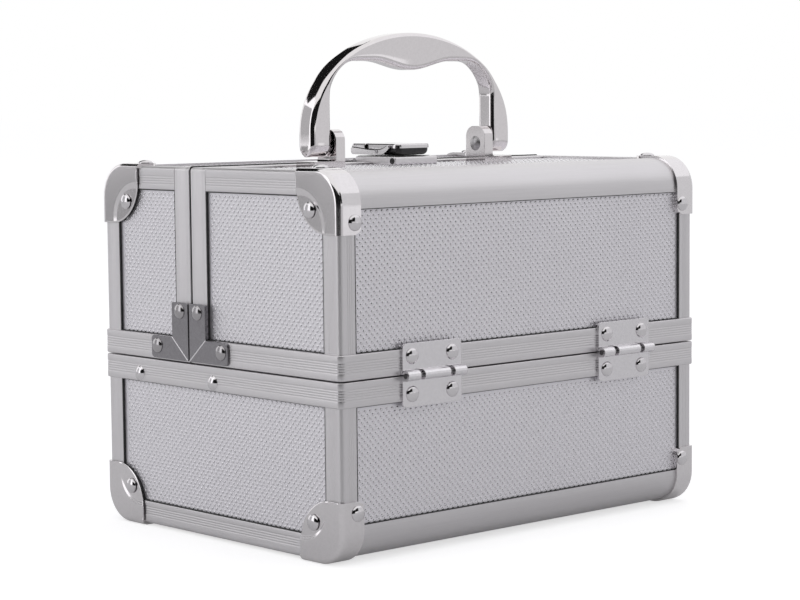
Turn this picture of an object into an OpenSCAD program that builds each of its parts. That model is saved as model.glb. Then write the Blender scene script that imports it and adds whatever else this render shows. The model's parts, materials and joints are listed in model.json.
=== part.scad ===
// Small hard makeup case with two lids. The lids are hinged on the two long sides and
// meet at a split across the top. A carrying handle and a draw latch sit on the wider
// lid, and a tray swings out on parallel arms as the narrow lid opens.
// Long side along X, depth along Y, +Z up. The origin is on the floor under the middle.

/* [Case] */
// Length over the frames
case_l = 204; // [176:1:300]
// Depth over the frames
case_d = 152; // [146:1:200]
// Height from the floor to the top of the frames
case_h = 152; // [146:1:200]
// Height of the line where the lids meet the base
part_z = 71.8; // [68:0.1:78]
// Place of the split between the two lids along the depth
split_y = 16.5; // [14:0.5:20]
// Gap between the two lids at the split
split_gap = 0.9; // [0.7:0.1:1.5]
// Gap between the rims of the lids and of the base
rim_gap = 0.5; // [0.3:0.1:1]
// Radius of the long rounded edges
edge_r = 13; // [10:0.5:14]

/* [Walls] */
// Thickness of the boards
board_t = 3.2; // [2.5:0.1:4]
// Thickness of the dimpled sheets on the boards
skin_t = 0.8; // [0.5:0.1:1.2]
// Thickness of the frames on the boards
frame_t = 1.9; // [1.6:0.1:2.4]
// Thickness of the lining
lining_t = 0.8; // [0.5:0.1:1.2]

/* [Frames] */
// Height of each rim at the parting line
rim_h = 10; // [8:0.5:12]
// How far the rims stand out past the other frames
rim_proud = 1; // [0.6:0.1:1.5]
// Thickness of the part of a rim or split frame that covers the board's edge
edge_web = 1.2; // [0.8:0.1:1.6]
// Thickness of a rim's inner flange
lip_t = 0.8; // [0.5:0.1:1]
// Height of a rim's inner flange
lip_h = 9; // [8:0.5:11]
// Width of the long rounded rails on each of their two faces
rail_w = 14.5; // [14.2:0.1:18]
// Width of the end rails and corner posts on the end faces
end_w = 9.6; // [8:0.1:12]
// Width of the corner posts and end rails on the long faces, the top and the bottom
side_w = 8; // [6:0.1:10]
// Width of the frames beside the split
split_w = 10; // [8:0.5:12]
// Radius of the square frames' outer corners
frame_r = 1.6; // [1:0.1:2]
// Depth of the grooves that run along the frames
groove_d = 0.4; // [0.2:0.1:0.8]
// Width of one groove
groove_w = 0.7; // [0.4:0.1:1]
// Distance from one groove to the next
groove_pitch = 1.9; // [1.6:0.1:3]

/* [Corner caps] */
// Thickness of the corner caps, which are also the feet
cap_t = 1; // [0.8:0.1:1.4]
// Reach of a cap along the edges of the end face
cap_reach = 24.3; // [22:0.1:28]
// Straight part of a cap's edge before its round part
cap_flat = 6.3; // [5:0.1:8]
// Width of the part of a cap that wraps round the long edge
cap_wrap = 11.2; // [10.5:0.1:14]
// Radius at the corners of the wrapped part
cap_corner_r = 3; // [1:0.5:5]
// Distance of the end rivets from the long face
cap_rivet_y = 16.2; // [12:0.1:18]
// Distance of the end rivets from the top or the bottom
cap_rivet_z = 15; // [12:0.1:18]
// Distance of the side rivets from the end face
cap_side_x = 7.4; // [5:0.1:8]
// Distance of the side rivets from the top or the bottom
cap_side_z = 19.2; // [17:0.1:20]

/* [Rivets] */
// Radius of the rivet heads
rivet_head_r = 3.2; // [2.4:0.1:3.6]
// Height of the rivet heads
rivet_head_h = 1.3; // [0.8:0.1:1.6]
// Radius of the rivet shanks
rivet_r = 1.3; // [1:0.1:1.6]
// Length of the rivet shanks under the heads
rivet_len = 4.2; // [3:0.1:5]
// Gap between a shank and its hole in the same assembly
snug = 0.02; // [0.01:0.01:0.05]
// Radial clearance of pins in the holes they turn in
run = 0.05; // [0.03:0.01:0.09]

/* [Split brackets] */
// Height of a bracket's upright arm above the parting line
bracket_up = 24.5; // [18:0.5:30]
// Length of a bracket's level arm from the split
bracket_out = 25; // [18:0.5:30]
// Width of the arms
bracket_w = 10.8; // [10.2:0.1:12]
// Thickness of the brackets
bracket_t = 1; // [0.8:0.1:1.5]
// Step from the parting line up to the level arm
bracket_step = 0.6; // [0.4:0.1:1]
// Distance of the upper rivet from the end of the upright arm
bracket_rivet_top = 3.6; // [3.4:0.1:6]
// Distance of the lower rivet from the end of the level arm
bracket_rivet_end = 4.2; // [3.8:0.1:6]
// Height of the lower rivet above the level arm's lower edge
bracket_rivet_up = 5.2; // [4:0.1:5.6]

/* [Hinges] */
// Distance of the hinges from the middle of the case
hinge_x = 56; // [40:0.5:64]
// Width of a hinge
hinge_w = 31.6; // [28:0.1:36]
// Height of an open hinge
hinge_h = 25; // [24:0.1:28]
// Thickness of the leaves
leaf_t = 1; // [0.8:0.1:1.2]
// Radius of the leaves' corners
leaf_r = 2; // [1:0.1:3]
// Radius of the knuckles
knuckle_r = 2.1; // [1.9:0.1:2.2]
// Radius of the hinge pins
hinge_pin_r = 1.1; // [0.8:0.1:1.2]
// Width of the middle knuckle
knuckle_mid = 13.7; // [10:0.1:15]
// Gap beside the middle knuckle, where the pin shows
knuckle_gap = 2.4; // [1.5:0.1:3]
// Gap between the knuckles and the rims
knuckle_clear = 0.4; // [0.3:0.1:0.8]
// Distance between the rivets along the hinge
hinge_rivet_x = 21.6; // [18:0.1:24]
// Distance between the rivets across the hinge
hinge_rivet_z = 14.9; // [14:0.1:17]

/* [Handle] */
// Place of the handle along the depth
handle_y = -3.8; // [-8:0.1:-2]
// Half the width over the handle's legs
grip_out = 57.5; // [52:0.5:62]
// Width of a leg
leg_w = 10.7; // [9:0.1:12]
// Depth of the handle
grip_d = 9.6; // [9:0.1:11]
// Height of the handle above the frames
grip_h = 55; // [50:0.5:62]
// Height of the straight part of the legs above the pivots
leg_h = 6.5; // [4:0.5:10]
// Height of the arch's inside above the pivots, beside the finger bulge
grip_in_h = 36; // [34:0.5:40]
// Radius of the inner corners of the arch
grip_in_r = 15; // [12:0.5:20]
// Drop of the finger bulge
bulge = 3.8; // [0:0.1:4.5]
// Length of the finger bulge
bulge_l = 46; // [36:1:50]
// Bevel along the handle's edges
grip_bevel = 1.9; // [1.2:0.1:2.4]
// Height of the pivots above the sheet on the top
pivot_h = 8.1; // [7.9:0.1:9]
// Radius of the handle's pivot pins
handle_pin_r = 2; // [1.5:0.1:2.5]
// Depth of the pins in the legs
handle_pin_in = 5; // [4:0.1:6]
// Thickness of the bracket ears
ear_t = 5; // [4:0.1:6]
// Width of the bracket ears
ear_w = 11.9; // [10:0.1:13]
// Height of the ears above the pivots
ear_up = 7.6; // [6:0.1:8]
// Radius of the ears' upper corners
ear_r = 4.6; // [3:0.1:5]
// Gap between an ear and the leg beside it
ear_gap = 1.1; // [0.5:0.1:1.5]
// Thickness of the bracket feet
foot_t = 2.5; // [2:0.1:2.7]

/* [Latch] */
// Half the width of the latch base
latch_half = 12.3; // [12.2:0.1:14]
// Length of the latch base from the edge of the wide lid
latch_base_l = 23.7; // [22:0.1:24.5]
// Thickness of the latch base above the frames
latch_base_t = 2.4; // [2:0.1:2.5]
// Distance of the lever's pivot from the edge of the wide lid
lever_back = 7.25; // [7:0.05:8]
// Height of the lever's pivot above the frames
lever_up = 5; // [4.8:0.1:5.4]
// Reach of the lever behind its pivot
lever_tail = 2.3; // [2.2:0.1:2.6]
// Height of the lever's upper face above its pivot
lever_rise = 2.8; // [2.7:0.1:3.2]
// Half the width of the lever
lever_half = 9.8; // [9.6:0.1:9.9]
// Length of the lever from its pivot to the finger edge
lever_l = 17; // [15:0.1:18]
// Thickness of the lever's sheet
lever_t = 1.1; // [0.9:0.1:1.2]
// Radius of the lever's two finger corners
finger_r = 4; // [3:0.5:5]
// Reach of the skirt below the link's pin
skirt_drop = 1.4; // [1.2:0.1:1.5]
// Distance of the link's pin in front of the lever's pivot
link_pin_back = 5; // [4.6:0.1:5.4]
// Drop of the link's pin below the lever's pivot
link_pin_drop = 0.6; // [0.5:0.1:0.7]
// Reach of the link past the edge of the wide lid
link_reach = 4.4; // [4:0.1:4.6]
// Thickness of the link's sheet
link_t = 1.1; // [0.9:0.1:1.2]
// Gap between the link and what moves beside it
link_gap = 0.25; // [0.2:0.05:0.4]
// Height of the link above the frames
link_up = 3.4; // [3.3:0.1:3.6]
// Width of the link's cross strip
link_strip_w = 4; // [3:0.1:4]
// Height of the link's arms above its cross strip
link_arm_up = 1.3; // [1:0.1:1.4]
// Radius of the link's eyes
link_eye_r = 1.5; // [1.4:0.05:1.6]
// Radius of the bulge under the middle of the link's arms
link_bulge_r = 0.6; // [0.4:0.1:0.7]
// Slot between the lever and the link's cap
link_slot = 0.6; // [0.5:0.1:0.8]
// Length of the rising noses at the front of the link's arms
link_nose_l = 8.4; // [6:0.2:9]
// Width of these noses
link_nose_w = 1.4; // [1.2:0.1:1.6]
// Slope of these noses in degrees
link_nose_slope = 17; // [12:1:20]
// Thickness of the latch base's ears
latch_ear_t = 1.2; // [1:0.1:1.4]
// Radius of the latch's pins
latch_pin_r = 0.8; // [0.6:0.1:0.8]
// Distance of the catch from the edge of the narrow lid
catch_in = 1.8; // [1.6:0.1:2.4]
// Length of the catch
catch_l = 7.2; // [6:0.1:8]
// Thickness of the catch
catch_t = 1.4; // [0.8:0.1:1.5]

/* [Tray] */
// Place of the inner arms' pivots along the depth
arm_y = 2.3; // [0:0.1:4]
// Distance between the inner and the outer arms' pivots
arm_pitch = 49.7; // [46:0.1:50]
// Depth of the arms' pivots under the parting line
arm_drop = 6.9; // [6:0.1:7.4]
// Length of the arms from pivot to pivot
arm_l = 46; // [42:0.5:47]
// Angle of the arms at rest, up from the line towards the narrow lid
arm_rest = 155; // [150:1:156]
// Width of the arms
arm_w = 7; // [6:0.1:8]
// Thickness of the arms
arm_t = 1; // [0.8:0.1:1.2]
// Radius of the pins of the arms
arm_pin_r = 1.4; // [1.2:0.1:1.6]
// Radius of the collars and inner heads of these pins
pin_head_r = 2.3; // [2:0.1:2.8]
// Thickness of the heads of the tray's pins
pin_head_t = 0.3; // [0.2:0.1:0.5]
// Gap between the arms and the case's inner face
arm_gap = 0.9; // [0.8:0.1:1.2]
// Gap between the arms and the tray's ends
tray_gap = 1.2; // [1:0.1:2]
// Reach of the tray past its pivots
tray_over = 8; // [7:0.1:9]
// Height of the tray
tray_h = 30; // [24:0.5:32]
// Thickness of the tray's walls and floor
tray_t = 1.6; // [1.2:0.1:2]
// Thickness of the trim on the tray's edge
trim_t = 0.5; // [0.4:0.1:0.6]
// Height of the trim
trim_h = 4; // [3:0.5:6]
// Thickness of the dividers
divider_t = 1.2; // [1:0.1:2]
// Number of cross dividers
divider_n = 2; // [1:1:4]

/* [Mirror] */
// Length of the mirror
mirror_l = 120; // [80:1:130]
// Width of the mirror
mirror_w = 56; // [40:1:58]
// Thickness of the mirror
mirror_t = 2; // [1.5:0.1:2.5]
// Width of the mirror's frame
mirror_frame_w = 5; // [4:0.5:6]
// Thickness of the mirror's frame
mirror_frame_t = 3; // [2.8:0.1:3.4]

/* [Hidden] */
$fn = 64;

// Colours as the photograph shows them
sheet_col = [0.78, 0.77, 0.80];
frame_col = [0.74, 0.73, 0.75];
chrome_col = [0.62, 0.62, 0.64];
steel_col = [0.50, 0.50, 0.52];
board_col = [0.55, 0.42, 0.28];
lining_col = [0.10, 0.10, 0.11];
mirror_col = [0.80, 0.85, 0.88];

far = 500;              // larger than the case, for cuts
eps = 0.01;             // overlap of a cutter past the face it cuts
margin = 1;             // reach of a cutter past a round corner or a groove
head_room = 5;          // reach of a rivet's hole past its head
least_r = 0.3;          // smallest radius of an arch that is moved in
joint = 0.1;            // glue line between two boards
hx = case_l / 2;
hy = case_d / 2;
floor_z = cap_t;        // underside of the frames: the caps reach the floor
mid_z = (floor_z + case_h) / 2;
board_x = hx - frame_t;             // outer face of the end boards
inner_x = board_x - board_t;        // inner face of the end boards
board_y = hy - frame_t;
inner_y = board_y - board_t;
base_top = part_z - rim_gap / 2;
lid_bottom = part_z + rim_gap / 2;
near_edge = split_y - split_gap / 2;
far_edge = split_y + split_gap / 2;
sheet_z = case_h - frame_t + skin_t;            // outer face of the sheet on the top
roof_z = case_h - frame_t - board_t - lining_t; // inner face of the lining under the top
lined_x = inner_x - lip_t;

rim_x = hx + rim_proud;
rim_y = hy + rim_proud;
hinge_y = rim_y + knuckle_clear + knuckle_r;    // distance of the hinge axes from the middle
leaf_top = rim_y + leaf_t;

pivot_z = sheet_z + pivot_h;
leg_in = grip_out - leg_w;
leg_round = 1;          // height of the centre of a leg's round end above its pivot
ear_out = leg_in - ear_gap;
ear_in = ear_out - ear_t;
grip_top = case_h + grip_h;

lever_y = near_edge - lever_back;
lever_z = case_h + lever_up;
link_pin_y = lever_y - link_pin_back;
link_pin_z = lever_z - link_pin_drop;
link_out = lever_half + link_gap + link_t;
latch_ear_x = lever_half - lever_t - link_gap;  // outer face of the latch base's ears
latch_ear_r = lever_rise - lever_t - link_gap;  // the ears stay clear of the lever as it lifts
roll_r = (latch_base_t + frame_t - skin_t) / 2; // rolled end, from the sheet to the base's top

mirror_y = (-hy + near_edge) / 2;               // middle of the mirror along the depth

arm_z = part_z - arm_drop;
arm_x = inner_x - max(lip_t, lining_t) - arm_gap;  // outer face of the arms
tray_x = arm_x - arm_t - tray_gap;
tray_pin_y = arm_y + arm_l * cos(arm_rest);
tray_pin_z = arm_z + arm_l * sin(arm_rest);
tray_y0 = tray_pin_y - tray_over;
tray_y1 = tray_pin_y + arm_pitch + tray_over;
tray_z0 = tray_pin_z - tray_over;
tray_z1 = tray_z0 + tray_h;

// ---- Ways of drawing ----

// A drawing in (Y, Z) carried along X from a to b
module along_x(a, b) {
    translate([a, 0, 0]) rotate([90, 0, 90]) linear_extrude(b - a) children();
}

// A drawing in (X, Z) carried along Y from a to b
module along_y(a, b) {
    translate([0, b, 0]) rotate([90, 0, 0]) linear_extrude(b - a) children();
}

// A drawing in (X, Y) carried along Z from a to b
module along_z(a, b) {
    translate([0, 0, a]) linear_extrude(b - a) children();
}

// A box between two opposite corners
module block(a, b) {
    translate(a) cube(b - a);
}

// A flat rectangle between two opposite corners
module plate(a, b) {
    translate(a) square(b - a);
}

// A rectangle about the middle with round corners
module round_rect(w, h, r) {
    square([w - 2 * r, h], center = true);
    square([w, h - 2 * r], center = true);
    for (sx = [-1, 1], sy = [-1, 1])
        translate([sx * (w / 2 - r), sy * (h / 2 - r)]) circle(r);
}

// Both the thing and its mirror image on the other end of the case
module both_ends() {
    children();
    mirror([1, 0, 0]) children();
}

// Both the thing and its mirror image on the other long side
module both_sides() {
    children();
    mirror([0, 1, 0]) children();
}

// The thing turned from the top to the bottom of the case
module upside_down() {
    translate([0, 0, 2 * mid_z]) mirror([0, 0, 1]) children();
}

// Cross-section of the case across its length, moved out by grow
module section(grow) {
    translate([0, mid_z])
        round_rect(case_d + 2 * grow, case_h - floor_z + 2 * grow, edge_r + grow);
}

// Plan of the walls, moved out by grow
module plan(grow) {
    square([case_l + 2 * grow, case_d + 2 * grow], center = true);
}

// Plan of the rims, with their round corners
module rim_plan(grow) {
    round_rect(2 * rim_x + 2 * grow, 2 * rim_y + 2 * grow, frame_r + rim_proud + grow);
}

// Grooves on a face that starts at 0 and is w wide, cut d deep into +Y
module grooves_2d(w) {
    count = floor((w - 2 * groove_w) / groove_pitch);
    start = (w - (count - 1) * groove_pitch) / 2;
    for (i = [0 : count - 1])
        translate([start + i * groove_pitch - groove_w / 2, -eps]) square([groove_w, groove_d + eps]);
}

// An angle section with its outer corner at the origin, legs of a along X and b along Y
module angle_2d(a, b) {
    difference() {
        union() {
            plate([0, 0], [a, frame_t]);
            plate([0, 0], [frame_t, b]);
        }
        translate([frame_r, frame_r]) trim_2d(frame_r, -1, -1);
        translate([frame_r, 0]) grooves_2d(a - frame_r);
        translate([0, frame_r]) mirror([1, -1]) grooves_2d(b - frame_r);
    }
}

// ---- Rivets ----

// A rivet with its domed head on +Z and its shank down -Z
module rivet(len, head_r = rivet_head_r, head_h = rivet_head_h, shank_r = rivet_r) {
    dome_r = (head_r * head_r + head_h * head_h) / (2 * head_h);
    intersection() {
        translate([0, 0, head_h - dome_r]) sphere(dome_r);
        cylinder(r = head_r, h = head_h);
    }
    translate([0, 0, -len]) cylinder(r = shank_r, h = len + head_h / 2);
}

// The hole that a rivet's shank needs
module rivet_hole() {
    translate([0, 0, -rivet_len - snug]) cylinder(r = rivet_r + snug, h = rivet_len + head_room);
}

// The rivet places of the cap at the left, near, top corner: a bottom cap has none on its foot
module at_cap_rivets(on_top = true) {
    translate([-hx - cap_t, -hy + cap_rivet_y, case_h - cap_rivet_z]) rotate([0, -90, 0]) children();
    translate([-hx + cap_side_x, -hy - cap_t, case_h - cap_side_z]) rotate([90, 0, 0]) children();
    if (on_top) translate([-hx + cap_side_x, -hy + cap_side_z, case_h + cap_t]) children();
}

// The rivet places of the bracket at the left end of the near lid
module at_bracket_rivets() {
    face_x = -rim_x - bracket_t;
    translate([face_x, near_edge - bracket_w / 2, lid_bottom + bracket_up - bracket_rivet_top])
        rotate([0, -90, 0]) children();
    translate([face_x, near_edge - bracket_out + bracket_rivet_end,
               lid_bottom + bracket_step + bracket_rivet_up])
        rotate([0, -90, 0]) children();
}

// The rivet places of the near hinges on the lid (s = 1) or the base (s = -1)
module at_hinge_rivets(s) {
    for (hinge = [-1, 1], side = [-1, 1])
        translate([hinge * hinge_x + side * hinge_rivet_x / 2, -leaf_top, part_z + s * hinge_rivet_z / 2])
            rotate([90, 0, 0]) children();
}

module at_base_rivets() {
    both_ends() both_sides() upside_down() at_cap_rivets(on_top = false) children();
    both_sides() at_hinge_rivets(-1) children();
}

module at_near_rivets() {
    both_ends() at_cap_rivets() children();
    both_ends() at_bracket_rivets() children();
    at_hinge_rivets(1) children();
}

module at_far_rivets() {
    both_ends() mirror([0, 1, 0]) at_cap_rivets() children();
    both_ends() to_far() at_bracket_rivets() children();
    mirror([0, 1, 0]) at_hinge_rivets(1) children();
}

// Mirrors a thing at the near side of the split to its far side
module to_far() {
    translate([0, 2 * split_y, 0]) mirror([0, 1, 0]) children();
}

// The places of the arms' lower pivots at the left end
module at_arm_pivots() {
    for (k = [0, 1]) translate([0, arm_y + k * arm_pitch, arm_z]) children();
}

// ---- Frames shared by the base and the lids ----

// One full rim from z0 up, with its board channel open downwards, grooves outside
module rim_channel(z0) {
    difference() {
        along_z(z0, z0 + rim_h) rim_plan(0);
        along_z(z0 - eps, z0 + rim_h - edge_web) difference() {
            plan(-frame_t);
            plan(-frame_t - board_t);
        }
        along_z(z0 - eps, z0 + rim_h + eps) plan(-frame_t - board_t - lip_t);
        along_z(z0 - eps, z0 + rim_h - lip_h) plan(-frame_t - board_t + eps);
        count = floor((rim_h - 2 * groove_w) / groove_pitch);
        start = z0 + (rim_h - (count - 1) * groove_pitch) / 2;
        for (i = [0 : count - 1])
            along_z(start + i * groove_pitch - groove_w / 2, start + i * groove_pitch + groove_w / 2)
                difference() {
                    rim_plan(margin);
                    rim_plan(-groove_d);
                }
    }
}

// The rim of both lids before the split is cut
module lid_rim() {
    translate([0, 0, 2 * lid_bottom + rim_h]) mirror([0, 0, 1]) rim_channel(lid_bottom);
}

// Corner post at the left near edge between two heights
module corner_post(z0, z1) {
    along_z(z0, z1) translate([-hx, -hy]) angle_2d(side_w, end_w);
}

// End rail along the top of the left end between two places along the depth
module end_rail(y0, y1) {
    along_y(y0, y1) translate([-hx, case_h]) mirror([0, 1]) angle_2d(side_w, end_w);
}

// Long rounded rail along the near top edge
module long_rail() {
    along_x(-hx, hx) intersection() {
        difference() {
            section(0);
            section(-frame_t);
        }
        rail_zone();
    }
    along_x(-inner_x, inner_x) intersection() {
        difference() {
            section(-frame_t);
            section(-frame_t - board_t);
        }
        rail_zone();
    }
}

module rail_zone() {
    plate([-hy, case_h - rail_w], [-hy + rail_w, case_h]);
}

// Outline of the arch of a split frame, moved out by grow
module arch(grow, z0) {
    top = case_h + grow;
    w = hx + grow;
    r = max(frame_r + grow, least_r);
    plate([-w, z0], [w, top - r]);
    plate([-w + r, z0], [w - r, top]);
    for (s = [-1, 1]) translate([s * (w - r), top - r]) circle(r);
}

// Split frame on the near lid: a grooved band outside and a web over the boards' edge
module split_frame() {
    band_z = lid_bottom + rim_h;
    web_z = lid_bottom + edge_web;
    difference() {
        along_y(near_edge - split_w, near_edge) difference() {
            arch(0, band_z);
            arch_inside(frame_t, band_z);
        }
        for (y = [near_edge - split_w + groove_pitch, near_edge - groove_pitch])
            along_y(y - groove_w / 2, y + groove_w / 2) difference() {
                arch(margin, band_z - eps);
                arch(-groove_d, band_z - 2 * eps);
            }
    }
    along_y(near_edge - edge_web, near_edge) difference() {
        arch_inside(frame_t - eps, web_z);
        arch_inside(frame_t + board_t, web_z);
    }
}

// Square opening under an arch, in by depth from the outside
module arch_inside(depth, z0) {
    plate([-hx + depth, z0 - eps], [hx - depth, case_h - depth]);
}

// Angle bracket at the left end of the near lid, where the split meets the rim
module bracket() {
    foot = lid_bottom + bracket_step;
    head = lid_bottom + bracket_up;
    rim_top = lid_bottom + rim_h;
    inner = near_edge - bracket_w;
    groove_l = bracket_w * sqrt(2);
    difference() {
        union() {
            along_x(-rim_x - bracket_t, -rim_x) {
                plate([near_edge - bracket_out, foot], [near_edge, rim_top]);
                plate([inner, foot], [near_edge, head]);
            }
            along_x(-rim_x - eps, -hx) plate([inner, rim_top], [near_edge, head]);
        }
        at_bracket_rivets() rivet_hole();
        translate([-rim_x - bracket_t - eps, near_edge, foot]) rotate([45, 0, 0])
            translate([0, -groove_w / 4, 0]) cube([groove_d + eps, groove_w / 2, groove_l]);
    }
}

// Cap at the left, near, top corner: an end plate and a strip wrapped round the long edge
module corner_cap(on_top = true) {
    round_r = cap_reach - cap_flat;
    difference() {
        union() {
            along_x(-hx - cap_t, -hx) intersection() {
                section(cap_t);
                translate([-hy, case_h]) mirror([0, 1]) {
                    plate([-cap_t, -cap_t], [cap_reach, cap_flat]);
                    plate([-cap_t, -cap_t], [cap_flat, cap_reach]);
                    translate([cap_flat, cap_flat]) circle(round_r);
                }
            }
            along_x(-hx - eps, -hx + cap_wrap) difference() {
                intersection() {
                    section(cap_t);
                    plate([-hy - cap_t, case_h - cap_reach], [-hy + cap_reach, case_h + cap_t]);
                }
                section(0);
            }
        }
        corner_trim();
        corner_trim_top();
        at_cap_rivets(on_top) rivet_hole();
    }
}

// Rounds the corner of the wrapped strip on the long face
module corner_trim() {
    r = cap_corner_r;
    along_y(-hy - 2 * cap_t, -hy + eps)
        translate([-hx + cap_wrap - r, case_h - cap_reach + r]) trim_2d(r, 1, -1);
}

// Rounds the corner of the wrapped strip on the top
module corner_trim_top() {
    r = cap_corner_r;
    along_z(case_h - eps, case_h + 2 * cap_t)
        translate([-hx + cap_wrap - r, -hy + cap_reach - r]) trim_2d(r, 1, 1);
}

// What a round corner of radius r leaves of a square corner towards (sx, sy)
module trim_2d(r, sx, sy) {
    reach = r + margin;
    difference() {
        plate([min(0, sx * reach), min(0, sy * reach)], [max(0, sx * reach), max(0, sy * reach)]);
        circle(r);
    }
}

// ---- Boards, sheets and linings ----

// End board at the left, within a zone of (Y, Z)
module end_board(y0, y1, z0, z1) {
    along_x(-board_x, -inner_x) intersection() {
        section(-frame_t);
        plate([y0, z0], [y1, z1]);
    }
}

// Sheet on the left end within a zone of (Y, Z)
module end_sheet(y0, y1, z0, z1) {
    block([-board_x - skin_t, y0, z0], [-board_x, y1, z1]);
}

// Sheet on the near side between two heights
module side_sheet(z0, z1) {
    block([-hx + side_w, -board_y - skin_t, z0], [hx - side_w, -board_y, z1]);
}

// Sheet on the top between two places along the depth
module top_sheet(y0, y1) {
    block([-hx + side_w, y0, case_h - frame_t], [hx - side_w, y1, sheet_z]);
}

// Lining of a lid or of the base: a thin shell on the boards, within a zone of (Y, Z)
module lining(y0, y1, z0, z1) {
    difference() {
        along_x(-inner_x, inner_x) intersection() {
            section(-frame_t - board_t);
            plate([y0, z0], [y1, z1]);
        }
        along_x(-inner_x + lining_t, inner_x - lining_t) section(-frame_t - board_t - lining_t);
    }
}

// Boards of a lid that reaches from the near side to the edge y1
module lid_boards(y1) {
    edge = y1 - edge_web;
    foot = lid_bottom + edge_web;
    both_ends() end_board(-far, edge, foot, far);
    block([-inner_x + joint, -board_y, foot], [inner_x - joint, -inner_y, case_h - rail_w]);
    block([-inner_x + joint, -hy + rail_w, case_h - frame_t - board_t],
          [inner_x - joint, edge, case_h - frame_t]);
}

// ---- Hinges ----

// Leaf at one near hinge: s = 1 for the lid's leaf, -1 for the base's
module hinge_leaf(s) {
    axis_z = part_z;
    out = hinge_w / 2;
    mid = knuckle_mid / 2;
    root = 2 * knuckle_r;
    bore = s > 0 ? hinge_pin_r + run : hinge_pin_r + snug;
    spans = s > 0 ? [[-mid, mid]] : [[-out, -mid - knuckle_gap], [mid + knuckle_gap, out]];
    difference() {
        union() {
            difference() {
                along_y(-leaf_top, -rim_y) translate([0, axis_z]) intersection() {
                    round_rect(hinge_w, hinge_h, leaf_r);
                    plate([-out, min(s * rim_gap, s * far)], [out, max(s * rim_gap, s * far)]);
                }
                along_x(-far, far) translate([-hinge_y, axis_z]) circle(knuckle_r + knuckle_clear);
            }
            for (span = spans) {
                along_x(span[0], span[1]) {
                    translate([-hinge_y, axis_z]) circle(knuckle_r);
                    plate([-hinge_y, min(axis_z, axis_z + s * knuckle_r)],
                          [-rim_y - eps, max(axis_z, axis_z + s * knuckle_r)]);
                    plate([-leaf_top, min(axis_z + s * rim_gap, axis_z + s * root)],
                          [-rim_y, max(axis_z + s * rim_gap, axis_z + s * root)]);
                }
            }
        }
        along_x(-far, far) translate([-hinge_y, axis_z]) circle(bore);
    }
}

// ---- Base ----

module base_boards() color(board_col) difference() {
    union() {
        top = base_top - edge_web;
        both_ends() end_board(-far, far, -far, top);
        both_sides() block([-inner_x + joint, -board_y, floor_z + rail_w],
                           [inner_x - joint, -inner_y, top]);
        block([-inner_x + joint, -hy + rail_w, floor_z + frame_t],
              [inner_x - joint, hy - rail_w, floor_z + frame_t + board_t]);
    }
    at_base_rivets() rivet_hole();
    arm_pin_holes();
}

module base_skin_near() color(sheet_col) difference() {
    side_sheet(floor_z + rail_w, base_top - rim_h);
    at_base_rivets() rivet_hole();
}

module base_skin_far() color(sheet_col) mirror([0, 1, 0]) base_skin_near();

module base_skin_ends() color(sheet_col) difference() {
    both_ends() end_sheet(-hy + end_w, hy - end_w, floor_z + end_w, base_top - rim_h);
    at_base_rivets() rivet_hole();
}

module base_skin_bottom() color(sheet_col)
    upside_down() top_sheet(-hy + rail_w, hy - rail_w);

module base_rim() color(frame_col) difference() {
    rim_channel(base_top - rim_h);
    at_base_rivets() rivet_hole();
    arm_pin_holes();
}

module base_corner_posts() color(frame_col) difference() {
    both_ends() both_sides() corner_post(floor_z + rail_w, base_top - rim_h);
    at_base_rivets() rivet_hole();
}

module base_long_rails() color(frame_col) difference() {
    both_sides() upside_down() long_rail();
    at_base_rivets() rivet_hole();
}

module base_end_rails() color(frame_col) difference() {
    both_ends() upside_down() end_rail(-hy + rail_w, hy - rail_w);
    at_base_rivets() rivet_hole();
}

module base_corner_caps() color(chrome_col)
    both_ends() both_sides() upside_down() corner_cap(on_top = false);

module base_lining() color(lining_col) difference() {
    lining(-far, far, -far, base_top - lip_h);
    arm_pin_holes();
}

module base_hinge_leaves() color(chrome_col) difference() {
    both_sides() both_ends() translate([-hinge_x, 0, 0]) hinge_leaf(-1);
    both_sides() at_hinge_rivets(-1) rivet_hole();
}

module hinge_pins() color(steel_col)
    both_sides() both_ends()
        along_x(-hinge_x - hinge_w / 2, -hinge_x + hinge_w / 2)
            translate([-hinge_y, part_z]) circle(hinge_pin_r);

module base_rivets() color(chrome_col) at_base_rivets() rivet(rivet_len);

// Pins of the arms: head outside the rim, collar between wall and arm, peened inside the arm
module arm_pivot_pins() color(chrome_col) both_ends() at_arm_pivots() {
    translate([-rim_x, 0, 0]) rotate([0, -90, 0]) rivet(rim_x - arm_x + arm_t + run, shank_r = arm_pin_r);
    translate([-lined_x + snug, 0, 0]) rotate([0, 90, 0])
        cylinder(r = pin_head_r, h = lined_x - arm_x - snug - run);
    translate([-arm_x + arm_t + run, 0, 0]) rotate([0, 90, 0])
        cylinder(r = pin_head_r, h = tray_gap / 2);
}

module arm_pin_holes() {
    both_ends() at_arm_pivots() rotate([0, 90, 0])
        translate([0, 0, -rim_x - eps]) cylinder(r = arm_pin_r + snug, h = rim_x - arm_x);
}

// ---- Near lid ----

module near_lid_boards() color(board_col) difference() {
    lid_boards(near_edge);
    at_near_rivets() rivet_hole();
}

module near_lid_skin_front() color(sheet_col) difference() {
    side_sheet(lid_bottom + rim_h, case_h - rail_w);
    at_near_rivets() rivet_hole();
}

module near_lid_skin_top() color(sheet_col) difference() {
    top_sheet(-hy + rail_w, near_edge - split_w);
    at_near_rivets() rivet_hole();
}

module near_lid_skin_ends() color(sheet_col) difference() {
    both_ends() end_sheet(-hy + end_w, near_edge - split_w, lid_bottom + rim_h, case_h - end_w);
    at_near_rivets() rivet_hole();
}

module near_lid_rim() color(frame_col) difference() {
    intersection() {
        lid_rim();
        block([-far, -far, 0], [far, near_edge, far]);
    }
    at_near_rivets() rivet_hole();
}

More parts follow.
